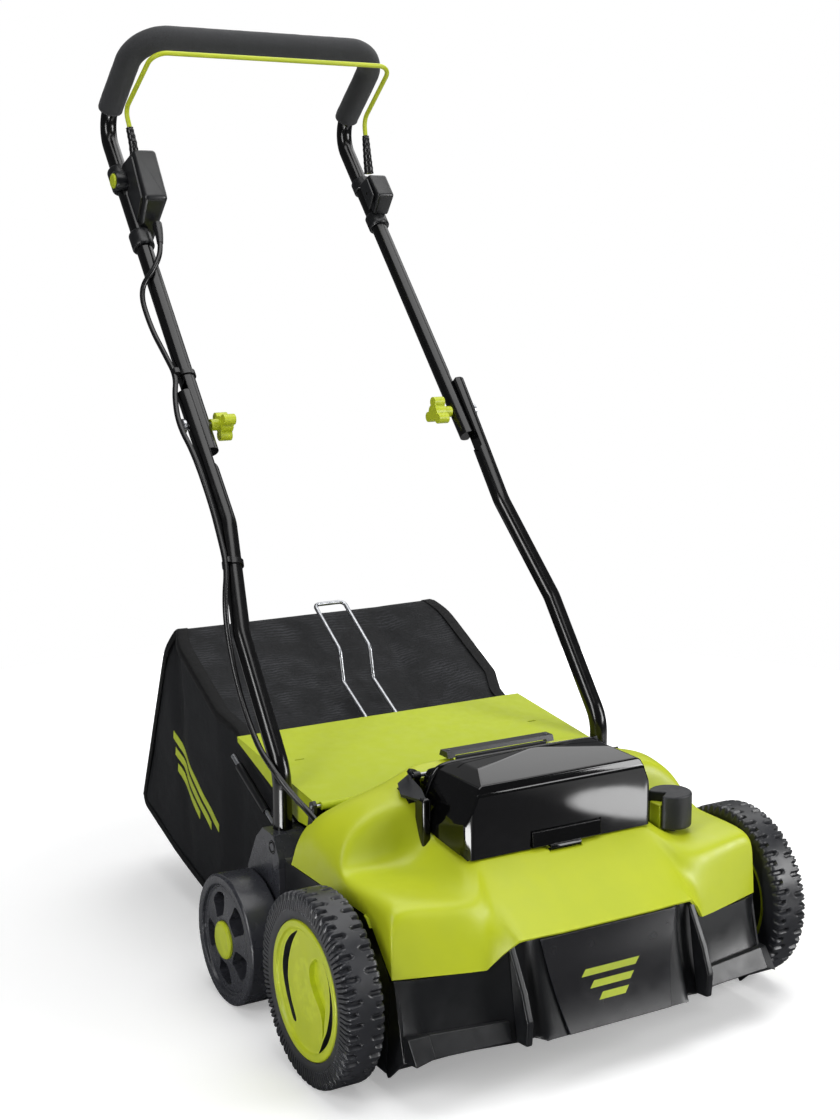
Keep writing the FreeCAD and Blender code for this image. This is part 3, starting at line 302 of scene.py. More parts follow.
def cloth(name, colour, other, along, pitch, depth, hole=None):
    """Woven cloth in the plane of two axes, with threads pitch millimetres apart."""
    finish = Finish(name, 0.66, Sheen_Weight=0.03, Sheen_Roughness=0.5, Specular_IOR_Level=0.2)
    finish.shader.inputs["Sheen Tint"].default_value = (0.6, 0.62, 0.66, 1)
    split = finish.node("ShaderNodeSeparateXYZ", {"Vector": finish.place})
    wobble = finish.remap(finish.noise(26, 2), 0.3, 0.7, -0.004, 0.004)
    threads = []
    for axis in along:
        drawn = finish.maths("ADD", split.outputs[axis], wobble)
        turned = finish.maths("MULTIPLY", drawn, 2 * math.pi * 1000 / pitch)
        threads.append(finish.maths("SINE", turned))
    over = finish.maths("MULTIPLY", threads[0], threads[1])
    height = finish.remap(over, -1, 1, 0, 1)
    slub = finish.remap(finish.noise(3.5, 3, stretch=(1, 4, 1)), 0.3, 0.7, 0, 1)
    tone = finish.blend(slub, colour, other)
    if hole is not None:
        tone = finish.blend(finish.remap(height, 0.25, 0.75, 0, 1), hole, tone)
    cloud = finish.remap(finish.noise(60, 3), 0.35, 0.65, 0.0, 0.5)
    finish.set("Base Color", finish.blend(cloud, tone, colour))
    soft = finish.bump(finish.noise(11, 3), 0.5)
    finish.set("Normal", finish.bump(height, depth, soft))
    return finish


LIME_LIGHT, LIME_DARK = srgb(188, 199, 34), srgb(184, 196, 35)
# each edge colour is the lighter colour along sharp edges: partly scuffs, partly painted highlight
# look: material name, its two tones, roughness, and what differs from the usual plastic
PLASTICS = {
    "lime": ("lime_plastic", LIME_LIGHT, LIME_DARK, 0.4, {"grain": 0.012, "wave": 0.03}),
    "flap": ("flap_lime", srgb(180, 194, 40), srgb(177, 191, 40), 0.5,
             {"grain": 0.008, "wave": 0.0, "wear": 0.2, "Specular_IOR_Level": 0.25}),
    "lime_deep": ("lime_trim", srgb(186, 197, 34), srgb(177, 190, 34), 0.36, {}),
    "print": ("lime_print", srgb(170, 184, 46), srgb(158, 172, 44), 0.6, {}),
    "gloss": ("black_gloss", srgb(7, 7, 8), srgb(9, 9, 10), 0.06,
              {"grain": 0.001, "wave": 0.02, "edge": srgb(26, 26, 29)}),
    "satin": ("black_satin", srgb(17, 18, 20), srgb(22, 23, 25), 0.33,
              {"grain": 0.02, "edge": srgb(50, 51, 55)}),
    "matt": ("black_matt", srgb(30, 31, 34), srgb(36, 37, 40), 0.5,
             {"grain": 0.04, "edge": srgb(66, 67, 72)}),
    "deck": ("deck_black", srgb(17, 18, 20), srgb(23, 24, 26), 0.32, {"edge": srgb(48, 49, 52)}),
    "wheel": ("wheel_black", srgb(47, 48, 53), srgb(54, 55, 60), 0.27,
              {"grain": 0.02, "edge": srgb(84, 85, 91)}),
    "panel": ("panel_black", srgb(20, 20, 23), srgb(23, 23, 26), 0.24,
              {"grain": 0.006, "wave": 0.05, "edge": srgb(80, 81, 88)}),
    "tyre": ("tyre_black", srgb(33, 34, 37), srgb(41, 42, 46), 0.36,
             {"grain": 0.05, "edge": srgb(78, 79, 84)}),
    "tube": ("painted_tube", srgb(7, 7, 8), srgb(9, 9, 10), 0.18,
             {"grain": 0.0006, "grain_size": 4, "wave": 0.004, "edge": srgb(30, 30, 32), "wear": 0}),
    "rubber": ("cable_rubber", srgb(12, 12, 13), srgb(18, 18, 20), 0.26,
               {"grain": 0.01, "wave": 0.03, "wear": 0}),
}
METALS = {
    "steel": ("plated_steel", srgb(186, 187, 190), srgb(164, 166, 170), 0.32, {"scratch": 0.003}),
    "dark_steel": ("dark_steel", srgb(120, 121, 124), srgb(96, 97, 100), 0.38, {}),
    "brass": ("bearing_steel", srgb(190, 190, 192), srgb(160, 161, 165), 0.2, {}),
}
FOAM_DARK, FOAM_LIGHT = srgb(24, 25, 27), srgb(46, 47, 50)
CLOTH_DARK, CLOTH_LIGHT = srgb(17, 18, 20), srgb(25, 26, 29)


def foam_finish():
    foam = Finish("grip_foam", 0.85, Sheen_Weight=0.12, Sheen_Roughness=0.6)
    pores = foam.noise(1.1, 4, rough=0.65)
    foam.set("Base Color", foam.blend(foam.remap(pores, 0.35, 0.65, 0, 1), FOAM_DARK, FOAM_LIGHT))
    foam.set("Normal", foam.bump(pores, 0.22, foam.bump(foam.noise(16, 2), 0.5)))
    return foam.material


def net_finish():
    """Open weave with a fine shimmer where its layers cross."""
    net = cloth("net", CLOTH_DARK, srgb(44, 45, 48), (0, 1), 1.8, 0.3, hole=srgb(4, 4, 5))
    ripples = net.node("ShaderNodeTexWave", {
        "Vector": net.place, "Scale": 74.0, "Distortion": 5.0, "Detail": 3.0, "Detail Scale": 1.8,
    }, bands_direction="Y")
    patches = net.remap(net.noise(34, 3), 0.38, 0.66, 0.05, 1.0)
    shimmer = net.maths("MULTIPLY", ripples.outputs["Fac"], patches)
    tone = net.shader.inputs["Base Color"].links[0].from_socket
    net.set("Base Color", net.blend(net.remap(shimmer, 0.2, 0.95, 0.0, 0.55), tone, srgb(66, 67, 71)))
    return net.material


def make_materials():
    made = {look: plastic(*given, **more) for look, (*given, more) in PLASTICS.items()}
    made.update({look: metal(*given, **more) for look, (*given, more) in METALS.items()})
    made["foam"] = foam_finish()
    for name, along in (("side", (1, 2)), ("base", (0, 1))):
        made["fabric_" + name] = cloth("fabric_" + name, CLOTH_DARK, CLOTH_LIGHT, along, 1.3, 0.08).material
    made["binding"] = cloth("binding_tape", srgb(6, 6, 7), srgb(11, 11, 12), (0, 1), 1.0, 0.1).material
    made["net"] = net_finish()
    return made


# ---- meshes ----------------------------------------------------------------------------------

# points nearer than this, in metres, are one point
WELD = 2e-6


def shade(mesh, angle=32):
    """Smooth shading, with the edges beyond angle left sharp."""
    mesh.polygons.foreach_set("use_smooth", [True] * len(mesh.polygons))
    mesh.set_sharp_from_angle(angle=math.radians(angle))


def add(name, mesh, look, body, stands_for=(), angle=32):
    """A piece with a look, which rides a body and stands for CAD nodes; edges beyond angle stay sharp."""
    obj = bpy.data.objects.new(name, mesh)
    scene.collection.objects.link(obj)
    mesh.materials.clear()
    mesh.materials.append(looks[look])
    shade(mesh, angle)
    if body:
        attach(obj, body)
    if stands_for:
        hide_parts(*stands_for)
    return obj


def closed(builder, mesh, weld=WELD):
    """Puts the builder's shape into a mesh, with doubled points joined and its faces turned outwards."""
    if weld:
        bmesh.ops.remove_doubles(builder, verts=builder.verts, dist=weld)
    bmesh.ops.recalc_face_normals(builder, faces=builder.faces)
    if builder.calc_volume(signed=True) < 0:
        bmesh.ops.reverse_faces(builder, faces=builder.faces)
    builder.to_mesh(mesh)
    builder.free()
    return mesh


def mesh_of(builder, name):
    return closed(builder, bpy.data.meshes.new(name))


def built(name, points, faces, weld=WELD, triangles=False):
    """A closed mesh from points in metres and faces."""
    mesh = bpy.data.meshes.new(name)
    mesh.from_pydata(points, [], faces)
    builder = bmesh.new()
    builder.from_mesh(mesh)
    if triangles:
        bmesh.ops.triangulate(builder, faces=builder.faces)
    return closed(builder, mesh, weld)


def tube_mesh(name, points, radii, sides=18):
    """A tube round a line of points, with closed ends."""
    tangents = [
        (points[min(k + 1, len(points) - 1)] - points[max(k - 1, 0)]).normalized() for k in range(len(points))
    ]
    across = tangents[0].orthogonal().normalized()
    builder = bmesh.new()
    rings = []
    for point, tangent, radius in zip(points, tangents, radii):
        across = (across - tangent * across.dot(tangent)).normalized()
        third = tangent.cross(across)
        rings.append([
            builder.verts.new(point + (across * math.cos(a) + third * math.sin(a)) * radius)
            for a in (2 * math.pi * k / sides for k in range(sides))
        ])
    for first, second in zip(rings, rings[1:]):
        for k in range(sides):
            builder.faces.new((first[k], first[(k + 1) % sides], second[(k + 1) % sides], second[k]))
    builder.faces.new(rings[0][::-1])
    builder.faces.new(rings[-1])
    return mesh_of(builder, name)


def soften(obj, width, segments=3, angle=25):
    """Rounds the edges that are sharper than angle, by width millimetres."""
    edges = obj.modifiers.new("soft_edges", "BEVEL")
    edges.width = width / 1000
    edges.segments = segments
    edges.limit_method = "ANGLE"
    edges.angle_limit = math.radians(angle)
    edges.harden_normals = True
    edges.miter_outer = "MITER_ARC"


def clean_copy(node):
    """A CAD node's mesh with its flat faces whole again."""
    builder = bmesh.new()
    builder.from_mesh(nodes[node].data)
    bmesh.ops.remove_doubles(builder, verts=builder.verts, dist=WELD)
    bmesh.ops.dissolve_limit(builder, angle_limit=math.radians(2), verts=builder.verts, edges=builder.edges)
    return builder


def softened(node, look, width):
    """The CAD node's own shape with rounded edges."""
    shape = node + "_shape"
    obj = add(shape, mesh_of(clean_copy(node), shape), look, nodes[node]["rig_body"], [node])
    soften(obj, width, angle=32)


# node, look, width of the rounded edges
SOFTENED = (
    ("hatch_latch", "gloss", 0.9), ("battery_bezel", "satin", 1.4), ("carry_bar", "deck", 1.3),
    ("rear_bracket_left", "wheel", 3.5), ("rear_bracket_right", "wheel", 3.5), ("switch_cover", "satin", 2.5),
    ("start_button", "lime_deep", 1.0), ("pivot_cover", "satin", 2.0), ("cable_clip_upper", "rubber", 0.8),
    ("cable_clip_lower", "rubber", 0.8), ("star_knob_left", "lime_deep", 1.6),
    ("star_knob_right", "lime_deep", 1.6), ("lower_housing", "deck", 1.0), ("controller_box", "deck", 1.5),
    ("battery_packs", "satin", 1.5), ("catcher_clips", "satin", 0.6),
)


def paint(node, look):
    """A look for a CAD node's own mesh."""
    mesh = nodes[node].data
    mesh.materials.clear()
    mesh.materials.append(looks[look])
    shade(mesh)


def plain_nodes():
    """Looks for the CAD nodes that no modelled piece replaces."""
    painted = {
        "tube": ["lower_handle_left", "lower_handle_right", "upper_handle"],
        "steel": ["handle_bolts", "flap_rod", "flap_springs", "hatch_pin", "catcher_frame", "catcher_handle",
                  "front_axle", "rear_axle", "rotor_tines", "rotor_shaft"],
        "brass": ["rotor_bearings", "motor_shaft", "rotor_pulley"],
        "dark_steel": ["motor_can", "housing_screws"],
        "rubber": ["drive_belt"],
        "deck": ["belt_cover", "battery_tray"],
        "lime_deep": ["bail_bar"],
        "flap": ["rear_flap"],
    }
    for look, members in painted.items():
        for node in members:
            paint(node, look)
    listed = sum(painted.values(), [])
    for node in nodes:
        if node not in listed:
            paint(node, "satin")


# ---- sheets ------------------------------------------------------------------------------------

def refined(sections, spacing):
    """Sections of matching points, filled in along and between them to about spacing."""
    grid = np.array(sections, float)
    for axis in (0, 1):
        grid = np.swapaxes(grid, 0, axis)
        rows = [grid[0]]
        for first, second in zip(grid, grid[1:]):
            count = max(1, math.ceil(np.linalg.norm(second - first, axis=-1).max() / spacing))
            rows += [first + (second - first) * step / count for step in range(1, count + 1)]
        grid = np.swapaxes(np.array(rows), 0, axis)
    return grid


def relaxed(grid, rounds, hold=None):
    """The grid with its inner points drawn towards their neighbours, so that ridges become round."""
    grid = grid.copy()
    strength = 1.0 if hold is None else hold(grid[1:-1, 1:-1])[..., None]
    for _ in range(rounds):
        around = (grid[:-2, 1:-1] + grid[2:, 1:-1] + grid[1:-1, :-2] + grid[1:-1, 2:]) / 4
        grid[1:-1, 1:-1] += (around - grid[1:-1, 1:-1]) * strength
    return grid


def sheet_mesh(name, grid, thickness):
    """A closed sheet: the grid is its outer face, and the inner face lies thickness behind it."""
    rows, columns = grid.shape[:2]
    normals = np.cross(np.gradient(grid, axis=0), np.gradient(grid, axis=1))
    normals = normals / np.maximum(np.linalg.norm(normals, axis=-1, keepdims=True), 1e-9)
    points = np.concatenate([grid.reshape(-1, 3), (grid - normals * thickness).reshape(-1, 3)])
    count = rows * columns
    faces = []
    for row in range(rows - 1):
        for column in range(columns - 1):
            a = row * columns + column
            b, c, d = a + columns, a + columns + 1, a + 1
            faces += [(a, b, c, d), (a + count, d + count, c + count, b + count)]
    rim = [(row, 0) for row in range(rows)] + [(rows - 1, column) for column in range(1, columns)]
    rim += [(row, columns - 1) for row in range(rows - 2, -1, -1)]
    rim += [(0, column) for column in range(columns - 2, 0, -1)]
    faces += rim_faces([row * columns + column for row, column in rim], count)
    return built(name, [at(*point) for point in points], faces, weld=2e-5)


def rim_faces(loop, count):
    """The faces that close the edge between a front and the back that is numbered count later."""
    pairs = zip(loop, loop[1:] + loop[:1])
    return [(second, first, first + count, second + count) for first, second in pairs]


def slabs(name, fronts, columns, shift):
    """Thin closed plates, each from the points of its front in rows; shift leads to its back."""
    points, faces = [], []
    for front in fronts:
        base, count = len(points), len(front)
        points += front + [tuple(a + b for a, b in zip(point, shift)) for point in front]
        cell = [list(range(start, start + columns)) for start in range(base, base + count, columns)]
        for upper, lower in zip(cell, cell[1:]):
            for c in range(columns - 1):
                quad = (upper[c], upper[c + 1], lower[c + 1], lower[c])
                faces += [quad, tuple(index + count for index in reversed(quad))]
        rim = cell[0] + [row[-1] for row in cell[1:]] + cell[-1][-2::-1] + [row[0] for row in cell[-2:0:-1]]
        faces += rim_faces(rim, count)
    return built(name, [at(*point) for point in points], faces)


# ---- convex blocks and booleans ----------------------------------------------------------------

def convex(planes):
    """The block inside all the planes, each (point, outward direction) in deck millimetres."""
    builder = bmesh.new()
    bmesh.ops.create_cube(builder, size=2.0)
    for point, outward in planes:
        cut = bmesh.ops.bisect_plane(
            builder, geom=builder.verts[:] + builder.edges[:] + builder.faces[:], dist=1e-7,
            plane_co=at(*point), plane_no=Vector(outward), clear_outer=True,
        )
        edges = [item for item in cut["geom_cut"] if isinstance(item, bmesh.types.BMEdge)]
        bmesh.ops.contextual_create(builder, geom=edges)
    return builder


def profile_planes(axis, outline, grow=0.0):
    """The planes of a convex outline across an axis, corners given anticlockwise in the other two."""
    planes = []
    for (u0, v0), (u1, v1) in zip(outline, outline[1:] + outline[:1]):
        length = math.hypot(u1 - u0, v1 - v0)
        out_u, out_v = (v1 - v0) / length, -(u1 - u0) / length
        point = [u0 + out_u * grow, v0 + out_v * grow]
        outward = [out_u, out_v]
        point.insert(axis, 0)
        outward.insert(axis, 0)
        planes.append((point, outward))
    return planes


def block(low, high):
    """A box's eight corners and six faces."""
    corners = [(x, y, z) for x in (low[0], high[0]) for y in (low[1], high[1]) for z in (low[2], high[2])]
    faces = [(0, 1, 3, 2), (4, 6, 7, 5), (0, 4, 5, 1), (2, 3, 7, 6), (0, 2, 6, 4), (1, 5, 7, 3)]
    return corners, faces


def extruded(axis, outline, low, high):
    """An outline across an axis, drawn out along it."""
    corners = []
    for value in (low, high):
        for u, v in outline:
            corner = [u, v]
            corner.insert(axis, value)
            corners.append(tuple(corner))
    count = len(outline)
    faces = [tuple(range(count)), tuple(range(2 * count - 1, count - 1, -1))]
    faces += [(k, k + count, (k + 1) % count + count, (k + 1) % count) for k in range(count)]
    return corners, faces


def solid(name, pieces):
    points, faces = [], []
    for corners, sides in pieces:
        faces += [tuple(index + len(points) for index in side) for side in sides]
        points += [at(*corner) for corner in corners]
    return built(name, points, faces, weld=0)


def circle(centre, radius, count):
    return [
        (centre[0] + radius * math.cos(2 * math.pi * k / count),
         centre[1] + radius * math.sin(2 * math.pi * k / count))
        for k in range(count)
    ]


def carved(mesh, cutters, crossing=False):
    """The mesh less each of the cutter meshes, as a new mesh."""
    target = bpy.data.objects.new("target", mesh)
    scene.collection.objects.link(target)
    tools = []
    for cutter in cutters:
        tool = bpy.data.objects.new("tool", cutter)
        scene.collection.objects.link(tool)
        step = target.modifiers.new("cut", "BOOLEAN")
        step.operation = "DIFFERENCE"
        step.solver = "EXACT"
        step.use_self = crossing
        step.object = tool
        tools.append(tool)
    bpy.context.view_layer.update()
    result = bpy.data.meshes.new_from_object(target.evaluated_get(bpy.context.evaluated_depsgraph_get()))
    for item in [target] + tools:
        bpy.data.objects.remove(item)
    result.name = mesh.name + "_cut"
    return result


# ---- top cover -----------------------------------------------------------------------------------

def smoothstep(value, low, high):
    """0 below low, 1 above high and an even change between them."""
    share = np.clip((value - low) / (high - low), 0, 1)
    return share * share * (3 - 2 * share)


# x, then front foot, front crest, shelf front, shelf rear, hump front, crest, rear top, rear foot
COVER = [
    (238, [(-79, 130), (-77, 198), (-50, 202), (25, 203), (45, 207), (98, 226), (139, 211), (150, 181)]),
    (225, [(-83, 130), (-78, 203), (-50, 206), (36, 205), (49, 238), (98, 250), (141, 232), (151, 184)]),
    (195, [(-92, 130), (-80, 201), (-50, 203), (38, 202), (49, 260), (99, 264), (141, 240), (151, 188)]),
    (158, [(-102, 129.5), (-84, 197), (-60, 200), (38, 201), (50, 266), (99, 272), (140, 250), (150, 192)]),
    (141, [(-106, 129.5), (-86, 193), (-62, 203), (32, 212), (50, 267), (99, 278), (140, 254), (149, 194)]),
    (128, [(-114, 146), (-74, 201), (-40, 214), (28, 229), (51, 264), (99, 284), (139, 257), (148, 195)]),
    (112, [(-122, 161), (-37, 218), (-34, 219), (28, 229), (51, 262), (99, 291), (138, 260), (148, 196)]),
    (60, [(-125, 161), (-38, 218), (-34, 219), (28, 229), (51, 262), (98, 293.5), (138, 262), (148, 196)]),
]
COVER_SKIRT = [(-79, 130), (-66, 143), (-48, 162), (-30, 181), (20, 181), (98, 181), (139, 181), (150, 181)]


# the depth knob's axis
KNOB = (160, -21)
COVER_CUTS = (
    # the battery bay, the room of the hatch above it, and that of the hatch's rear corners
    ((-118, -30, 150), (118, 78, 330)),
    ((-129.5, 24, 233), (129.5, 80, 330)),
    ((-142.5, 52.5, 221), (-100, 79.5, 330)),
    ((100, 52.5, 221), (142.5, 79.5, 330)),
    # the hollow under the carry bar, the cable's way in and the latch
    ((-60, 82, 277), (60, 112, 330)),
    ((-226, 122, 222), (-208, 160, 247)),
    ((-20.5, -48, 214.5), (22.5, -34, 223)),
)


def cover_sections():
    half = [[(238, y, z) for y, z in COVER_SKIRT]]
    half += [[(x, y, z) for y, z in outline] for x, outline in COVER]
    return [mirrored(section) for section in half] + half[::-1]


def top_cover():
    def hold(points):
        """Soft in the side scoops, crisper near the middle band and the lower edge."""
        wide = smoothstep(np.abs(points[..., 0]), 100, 150)
        high = smoothstep(points[..., 2], 135, 190)
        return 0.25 + 0.75 * wide * high

    grid = relaxed(refined(cover_sections(), 4.6), 22, hold)
    pieces = [block(low, high) for low, high in COVER_CUTS]
    pieces += [extruded(2, circle(KNOB, 26.5, 64), 207, 245), extruded(2, circle(KNOB, 7.5, 32), 150, 250)]
    mesh = carved(sheet_mesh("top_cover_shape", grid, 3.0), [solid("room", [piece]) for piece in pieces])
    add("top_cover_shape", mesh, "lime", "root", ["top_cover"], angle=40)


# ---- front wheels ----------------------------------------------------------------------------------

WHEEL_INNER, WHEEL_OUTER, WHEEL_RADIUS = 256.2, 299.5, 102.5
SECTORS = 56
SECTOR_STEPS = 10


def turned(name, profile, steps, place, shape=None):
    """A closed ring: place puts a profile point at an angle, and shape may move the point first."""
    points, faces = [], []
    count = len(profile)
    for step in range(steps):
        angle = 2 * math.pi * step / steps
        for first, second in profile:
            if shape:
                first, second = shape(first, second, step)
            points.append(place(first, second, math.sin(angle), math.cos(angle)))
    for step in range(steps):
        after = (step + 1) % steps
        for k in range(count):
            nxt = (k + 1) % count
            faces.append((step * count + k, step * count + nxt, after * count + nxt, after * count + k))
    return built(name, points, faces)


def ring_mesh(name, profile, steps, centre, side, shape=None):
    """Profile points (x, radius) turned about an axis across the machine, at a centre (y, z)."""
    def place(x, radius, sine, cosine):
        return at(side * x, centre[0] + radius * sine, centre[1] + radius * cosine)
    return turned(name, profile, steps, place, shape)


def ring_z(name, profile, steps, centre):
    """Profile points (radius, z) turned about an upright axis."""
    def place(radius, z, sine, cosine):
        return at(centre[0] + radius * cosine, centre[1] + radius * sine, z)
    return turned(name, profile, steps, place)


def rounded_path(corners, radii, steps):
    """A path with its corners rounded, open at both ends."""
    path = []
    for index, (corner, radius) in enumerate(zip(corners, radii)):
        corner = np.array(corner, float)
        if radius == 0 or index in (0, len(corners) - 1):
            path.append(tuple(corner))
            continue
        before = np.array(corners[index - 1], float) - corner
        after = np.array(corners[index + 1], float) - corner
        first = corner + before / np.linalg.norm(before) * radius
        last = corner + after / np.linalg.norm(after) * radius
        for step in range(steps + 1):
            t = step / steps
            path.append(tuple((1 - t) ** 2 * first + 2 * t * (1 - t) * corner + t * t * last))
    return path


def spaced(path, gap):
    """The path with more points, about gap apart."""
    dense = [path[0]]
    for first, second in zip(path, path[1:]):
        count = max(1, round(math.dist(first, second) / gap))
        dense += [
            (first[0] + (second[0] - first[0]) * k / count, first[1] + (second[1] - first[1]) * k / count)
            for k in range(1, count + 1)
        ]
    return dense


def eased(value, low, high):
    share = min(1.0, max(0.0, (value - low) / (high - low)))
    return share * share * (3 - 2 * share)


def tread(x, radius, step):
    """Sunk slots in the tread and fine grooves in the outer sidewall."""
    arc = 2 * math.pi * WHEEL_RADIUS / SECTORS
    sink = 0.0
    for row in (0, 1):
        place = step / SECTOR_STEPS + (0.5 if row else 0.0)
        sector = round(place)
        across = abs(place - sector) * arc
        reach = 17.0 if sector % 2 == row else 11.5
        edge = WHEEL_OUTER - x if row == 0 else x - WHEEL_INNER
        past = max(0.0, edge - (reach - 2.4))
        gap = math.hypot(across, past)
        sink = max(sink, 3.8 * (1 - eased(gap, 1.7, 2.7)))
    if radius > 90 and sink:
        radius -= sink * min(1.0, (radius - 90) / 9)
    groove = abs((step + SECTOR_STEPS // 4) % (SECTOR_STEPS // 2) - SECTOR_STEPS // 4)
    if x > WHEEL_OUTER - 9 and radius > 82.5 and groove == 0:
        x -= 2.2 * min(1.0, (radius - 82.5) / 2.5)
    return x, radius


# outlines on the disc: how far towards the rear of the wheel's centre, and how far above it
CRESCENT = [
    (18.7, 58.9), (34.8, 48.6), (47.5, 34.7), (54.6, 17.2), (56, 3.7), (53.6, -8.3), (48.3, -21.3),
    (39.5, -34.7), (31.8, -44.2), (25.5, -44.5), (27.7, -38.4), (35.3, -27.5), (41.5, -14.5), (44.6, -0.9),
    (43.4, 14.4), (39.5, 26.6), (33.1, 40.0), (24.8, 51.2),
]
SWOOP = [
    (-19.3, 40.8), (-23.1, 41.5), (-28.5, 37.5), (-34.2, 30), (-38.6, 20), (-41.0, 10), (-41.6, 0),
    (-40.6, -10.4), (-38.4, -23.9), (-37.4, -36), (-35.4, -39), (-34.2, -30), (-32.6, -20), (-27.3, -10.2),
    (-16.3, 0.0), (-7.8, 11.2), (-5.4, 21.2), (-8.4, 31.4),
]
GROOVE = [
    (-36.4, 46.2), (-47.2, 38.3), (-55.1, 27.1), (-59.1, 10.9), (-59.8, -6.6), (-57.6, -19.9), (-51.8, -33.1),
    (-42.6, -46.1), (-29.6, -57.3), (-33.0, -48), (-38, -39), (-44.5, -28), (-49.8, -12.1), (-52.4, 3.4),
    (-51.4, 20.8), (-45.6, 35.2),
]
# how far out each outline's cut begins; the wall of a through slot crosses both depths of SLOT_SHADE_DEPTHS,
# in metres, and such walls get painted shade
DISC_CUTS = ((CRESCENT, 280.0), (SWOOP, 288.5), (GROOVE, 280.0))
SLOT_SHADE_DEPTHS = (0.287, 0.290)


def front_tyre(name, side):
    outer, inner, top = WHEEL_OUTER, WHEEL_INNER, WHEEL_RADIUS
    path = rounded_path(
        [(inner + 1, 74.1), (inner, 77), (inner, 96), (inner + 2.5, 102), (inner + 6, top), (outer - 6, top),
         (outer - 2.2, 101.6), (outer - 0.4, 96.5), (outer, 84), (outer - 0.3, 78), (outer - 2, 74.1)],
        [0, 2, 3, 2, 1, 1, 1.5, 2, 3, 3, 0], 3,
    )
    ring = ring_mesh("tyre", spaced(path, 1.6), SECTORS * SECTOR_STEPS, (0, WHEEL_RADIUS), side, tread)
    node = f"front_tyre_{name}"
    add(node + "_shape", ring, "tyre", f"front_wheel_{name}", [node], angle=38)


def front_disc(name, side):
    centre, body = (0, WHEEL_RADIUS), f"front_wheel_{name}"
    hub = rounded_path(
        [(254, 6.1), (254, 14), (284, 17), (284, 62), (262, 65), (262, 73.8), (296.2, 73.8), (298.9, 72.6),
         (298.9, 65.8), (296.4, 64.4), (295.2, 62), (294.0, 40), (294.4, 0.3), (290, 0.3), (290, 6.1)],
        [0, 0, 0, 4, 0, 0, 1.2, 1.6, 1.0, 1.0, 2, 8, 0, 0, 0], 4,
    )
    cutters = []
    for outline, low in DISC_CUTS:
        shape = [(y, z + WHEEL_RADIUS) for y, z in rounded_loop(outline)]
        cutters.append(solid("slot", [extruded(0, shape, side * low, side * 305)]))
    mesh = carved(ring_mesh("disc", hub, 120, centre, side), cutters, crossing=True)
    node = f"front_disc_{name}"
    disc = add(node + "_shape", mesh, "lime_deep", body, [node], angle=35)
    # the walls of the two through slots are painted dark: painted shade for the shade inside the slots
    mesh.materials.append(looks["matt"])
    for polygon in mesh.polygons:
        depths = [abs(mesh.vertices[index].co.x) for index in polygon.vertices]
        if abs(polygon.normal.x) < 0.35 and min(depths) < SLOT_SHADE_DEPTHS[0] and max(depths) > SLOT_SHADE_DEPTHS[1]:
            polygon.material_index = 1
    soften(disc, 0.7, 2, 40)
    # a dark matt ring just behind the web that closes off the through slots: painted shade for the dark seen
    # through them
    back = [(281.0, 16.4), (283.6, 16.4), (283.6, 61.6), (281.0, 61.6)]
    add(f"front_disc_back_{name}", ring_mesh("disc_shade_plate", back, 96, centre, side), "matt", body, ())


def rounded_loop(outline):
    """A closed outline drawn through its corners as a smooth curve, with four points to a side."""
    count = len(outline)
    smooth = []
    for k in range(count):
        p0, p1, p2, p3 = (np.array(outline[(k + shift) % count], float) for shift in (-1, 0, 1, 2))
        for t in (0, 0.25, 0.5, 0.75):
            smooth.append(tuple(0.5 * (
                2 * p1 + (p2 - p0) * t + (2 * p0 - 5 * p1 + 4 * p2 - p3) * t * t
                + (3 * p1 - p0 - 3 * p2 + p3) * t ** 3
            )))
    return smooth


# ---- rear wheels -------------------------------------------------------------------------------------

REAR_Y, REAR_Z = 224.8, 76.0
# one of a rear wheel's five windows: distance from the axle, and length round the wheel from its middle line
WINDOW = [
    (28.5, -8.5), (30.5, -11.2), (50, -17.5), (53.2, -15.4), (54.6, -8), (55, 0), (54.6, 8), (53.2, 15.4),
    (50, 17.5), (30.5, 11.2), (28.5, 8.5),
]


def rear_wheel(name, side):
    corners = [
        (248, 6.2), (248, 14), (262, 17), (262, 54), (246.8, 58), (246.8, 73.5), (249, 76), (286.4, 76),
        (289, 73.4), (289, 65.4), (288.2, 63.8), (284.6, 63), (283.8, 61.2), (284.6, 59.6), (284.2, 55),
        (285.4, 40), (288.4, 25.5), (288.2, 22.4), (286, 21.8), (286, 6.2),
    ]
    radii = [0, 0, 2, 2, 0, 1, 1, 1.2, 1.4, 0.8, 0.6, 0.6, 0.5, 0.5, 2, 6, 1, 0.3, 0, 0]
    wheel = ring_mesh("wheel", rounded_path(corners, radii, 3), 144, (REAR_Y, REAR_Z), side)
    cutters = []
    for k in range(5):
        shape = []
        for radius, width in WINDOW:
            turn = math.radians(63 + 72 * k) + math.radians(57.3 * width / radius * 0.98)
            shape.append((REAR_Y + radius * math.cos(turn), REAR_Z + radius * math.sin(turn)))
        cutters.append(solid("window", [extruded(0, shape, side * 258, side * 292)]))
    body = f"rear_wheel_{name}"
    soften(add(body + "_shape", carved(wheel, cutters), "wheel", body, [body]), 0.8, 2, 40)
    path = rounded_path(
        [(286.3, 0.02), (286.3, 21.9), (290.3, 22), (292.4, 19.5), (293, 0.02)], [0, 0.4, 1.2, 3, 0], 4
    )
    mesh = ring_mesh("cap", path, 72, (REAR_Y, REAR_Z), side)
    node = f"rear_cap_{name}"
    mesh.name = node + "_shape"
    add(mesh.name, mesh, "lime_deep", nodes[node]["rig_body"], [node])


# ---- battery hatch and depth knob --------------------------------------------------------------------

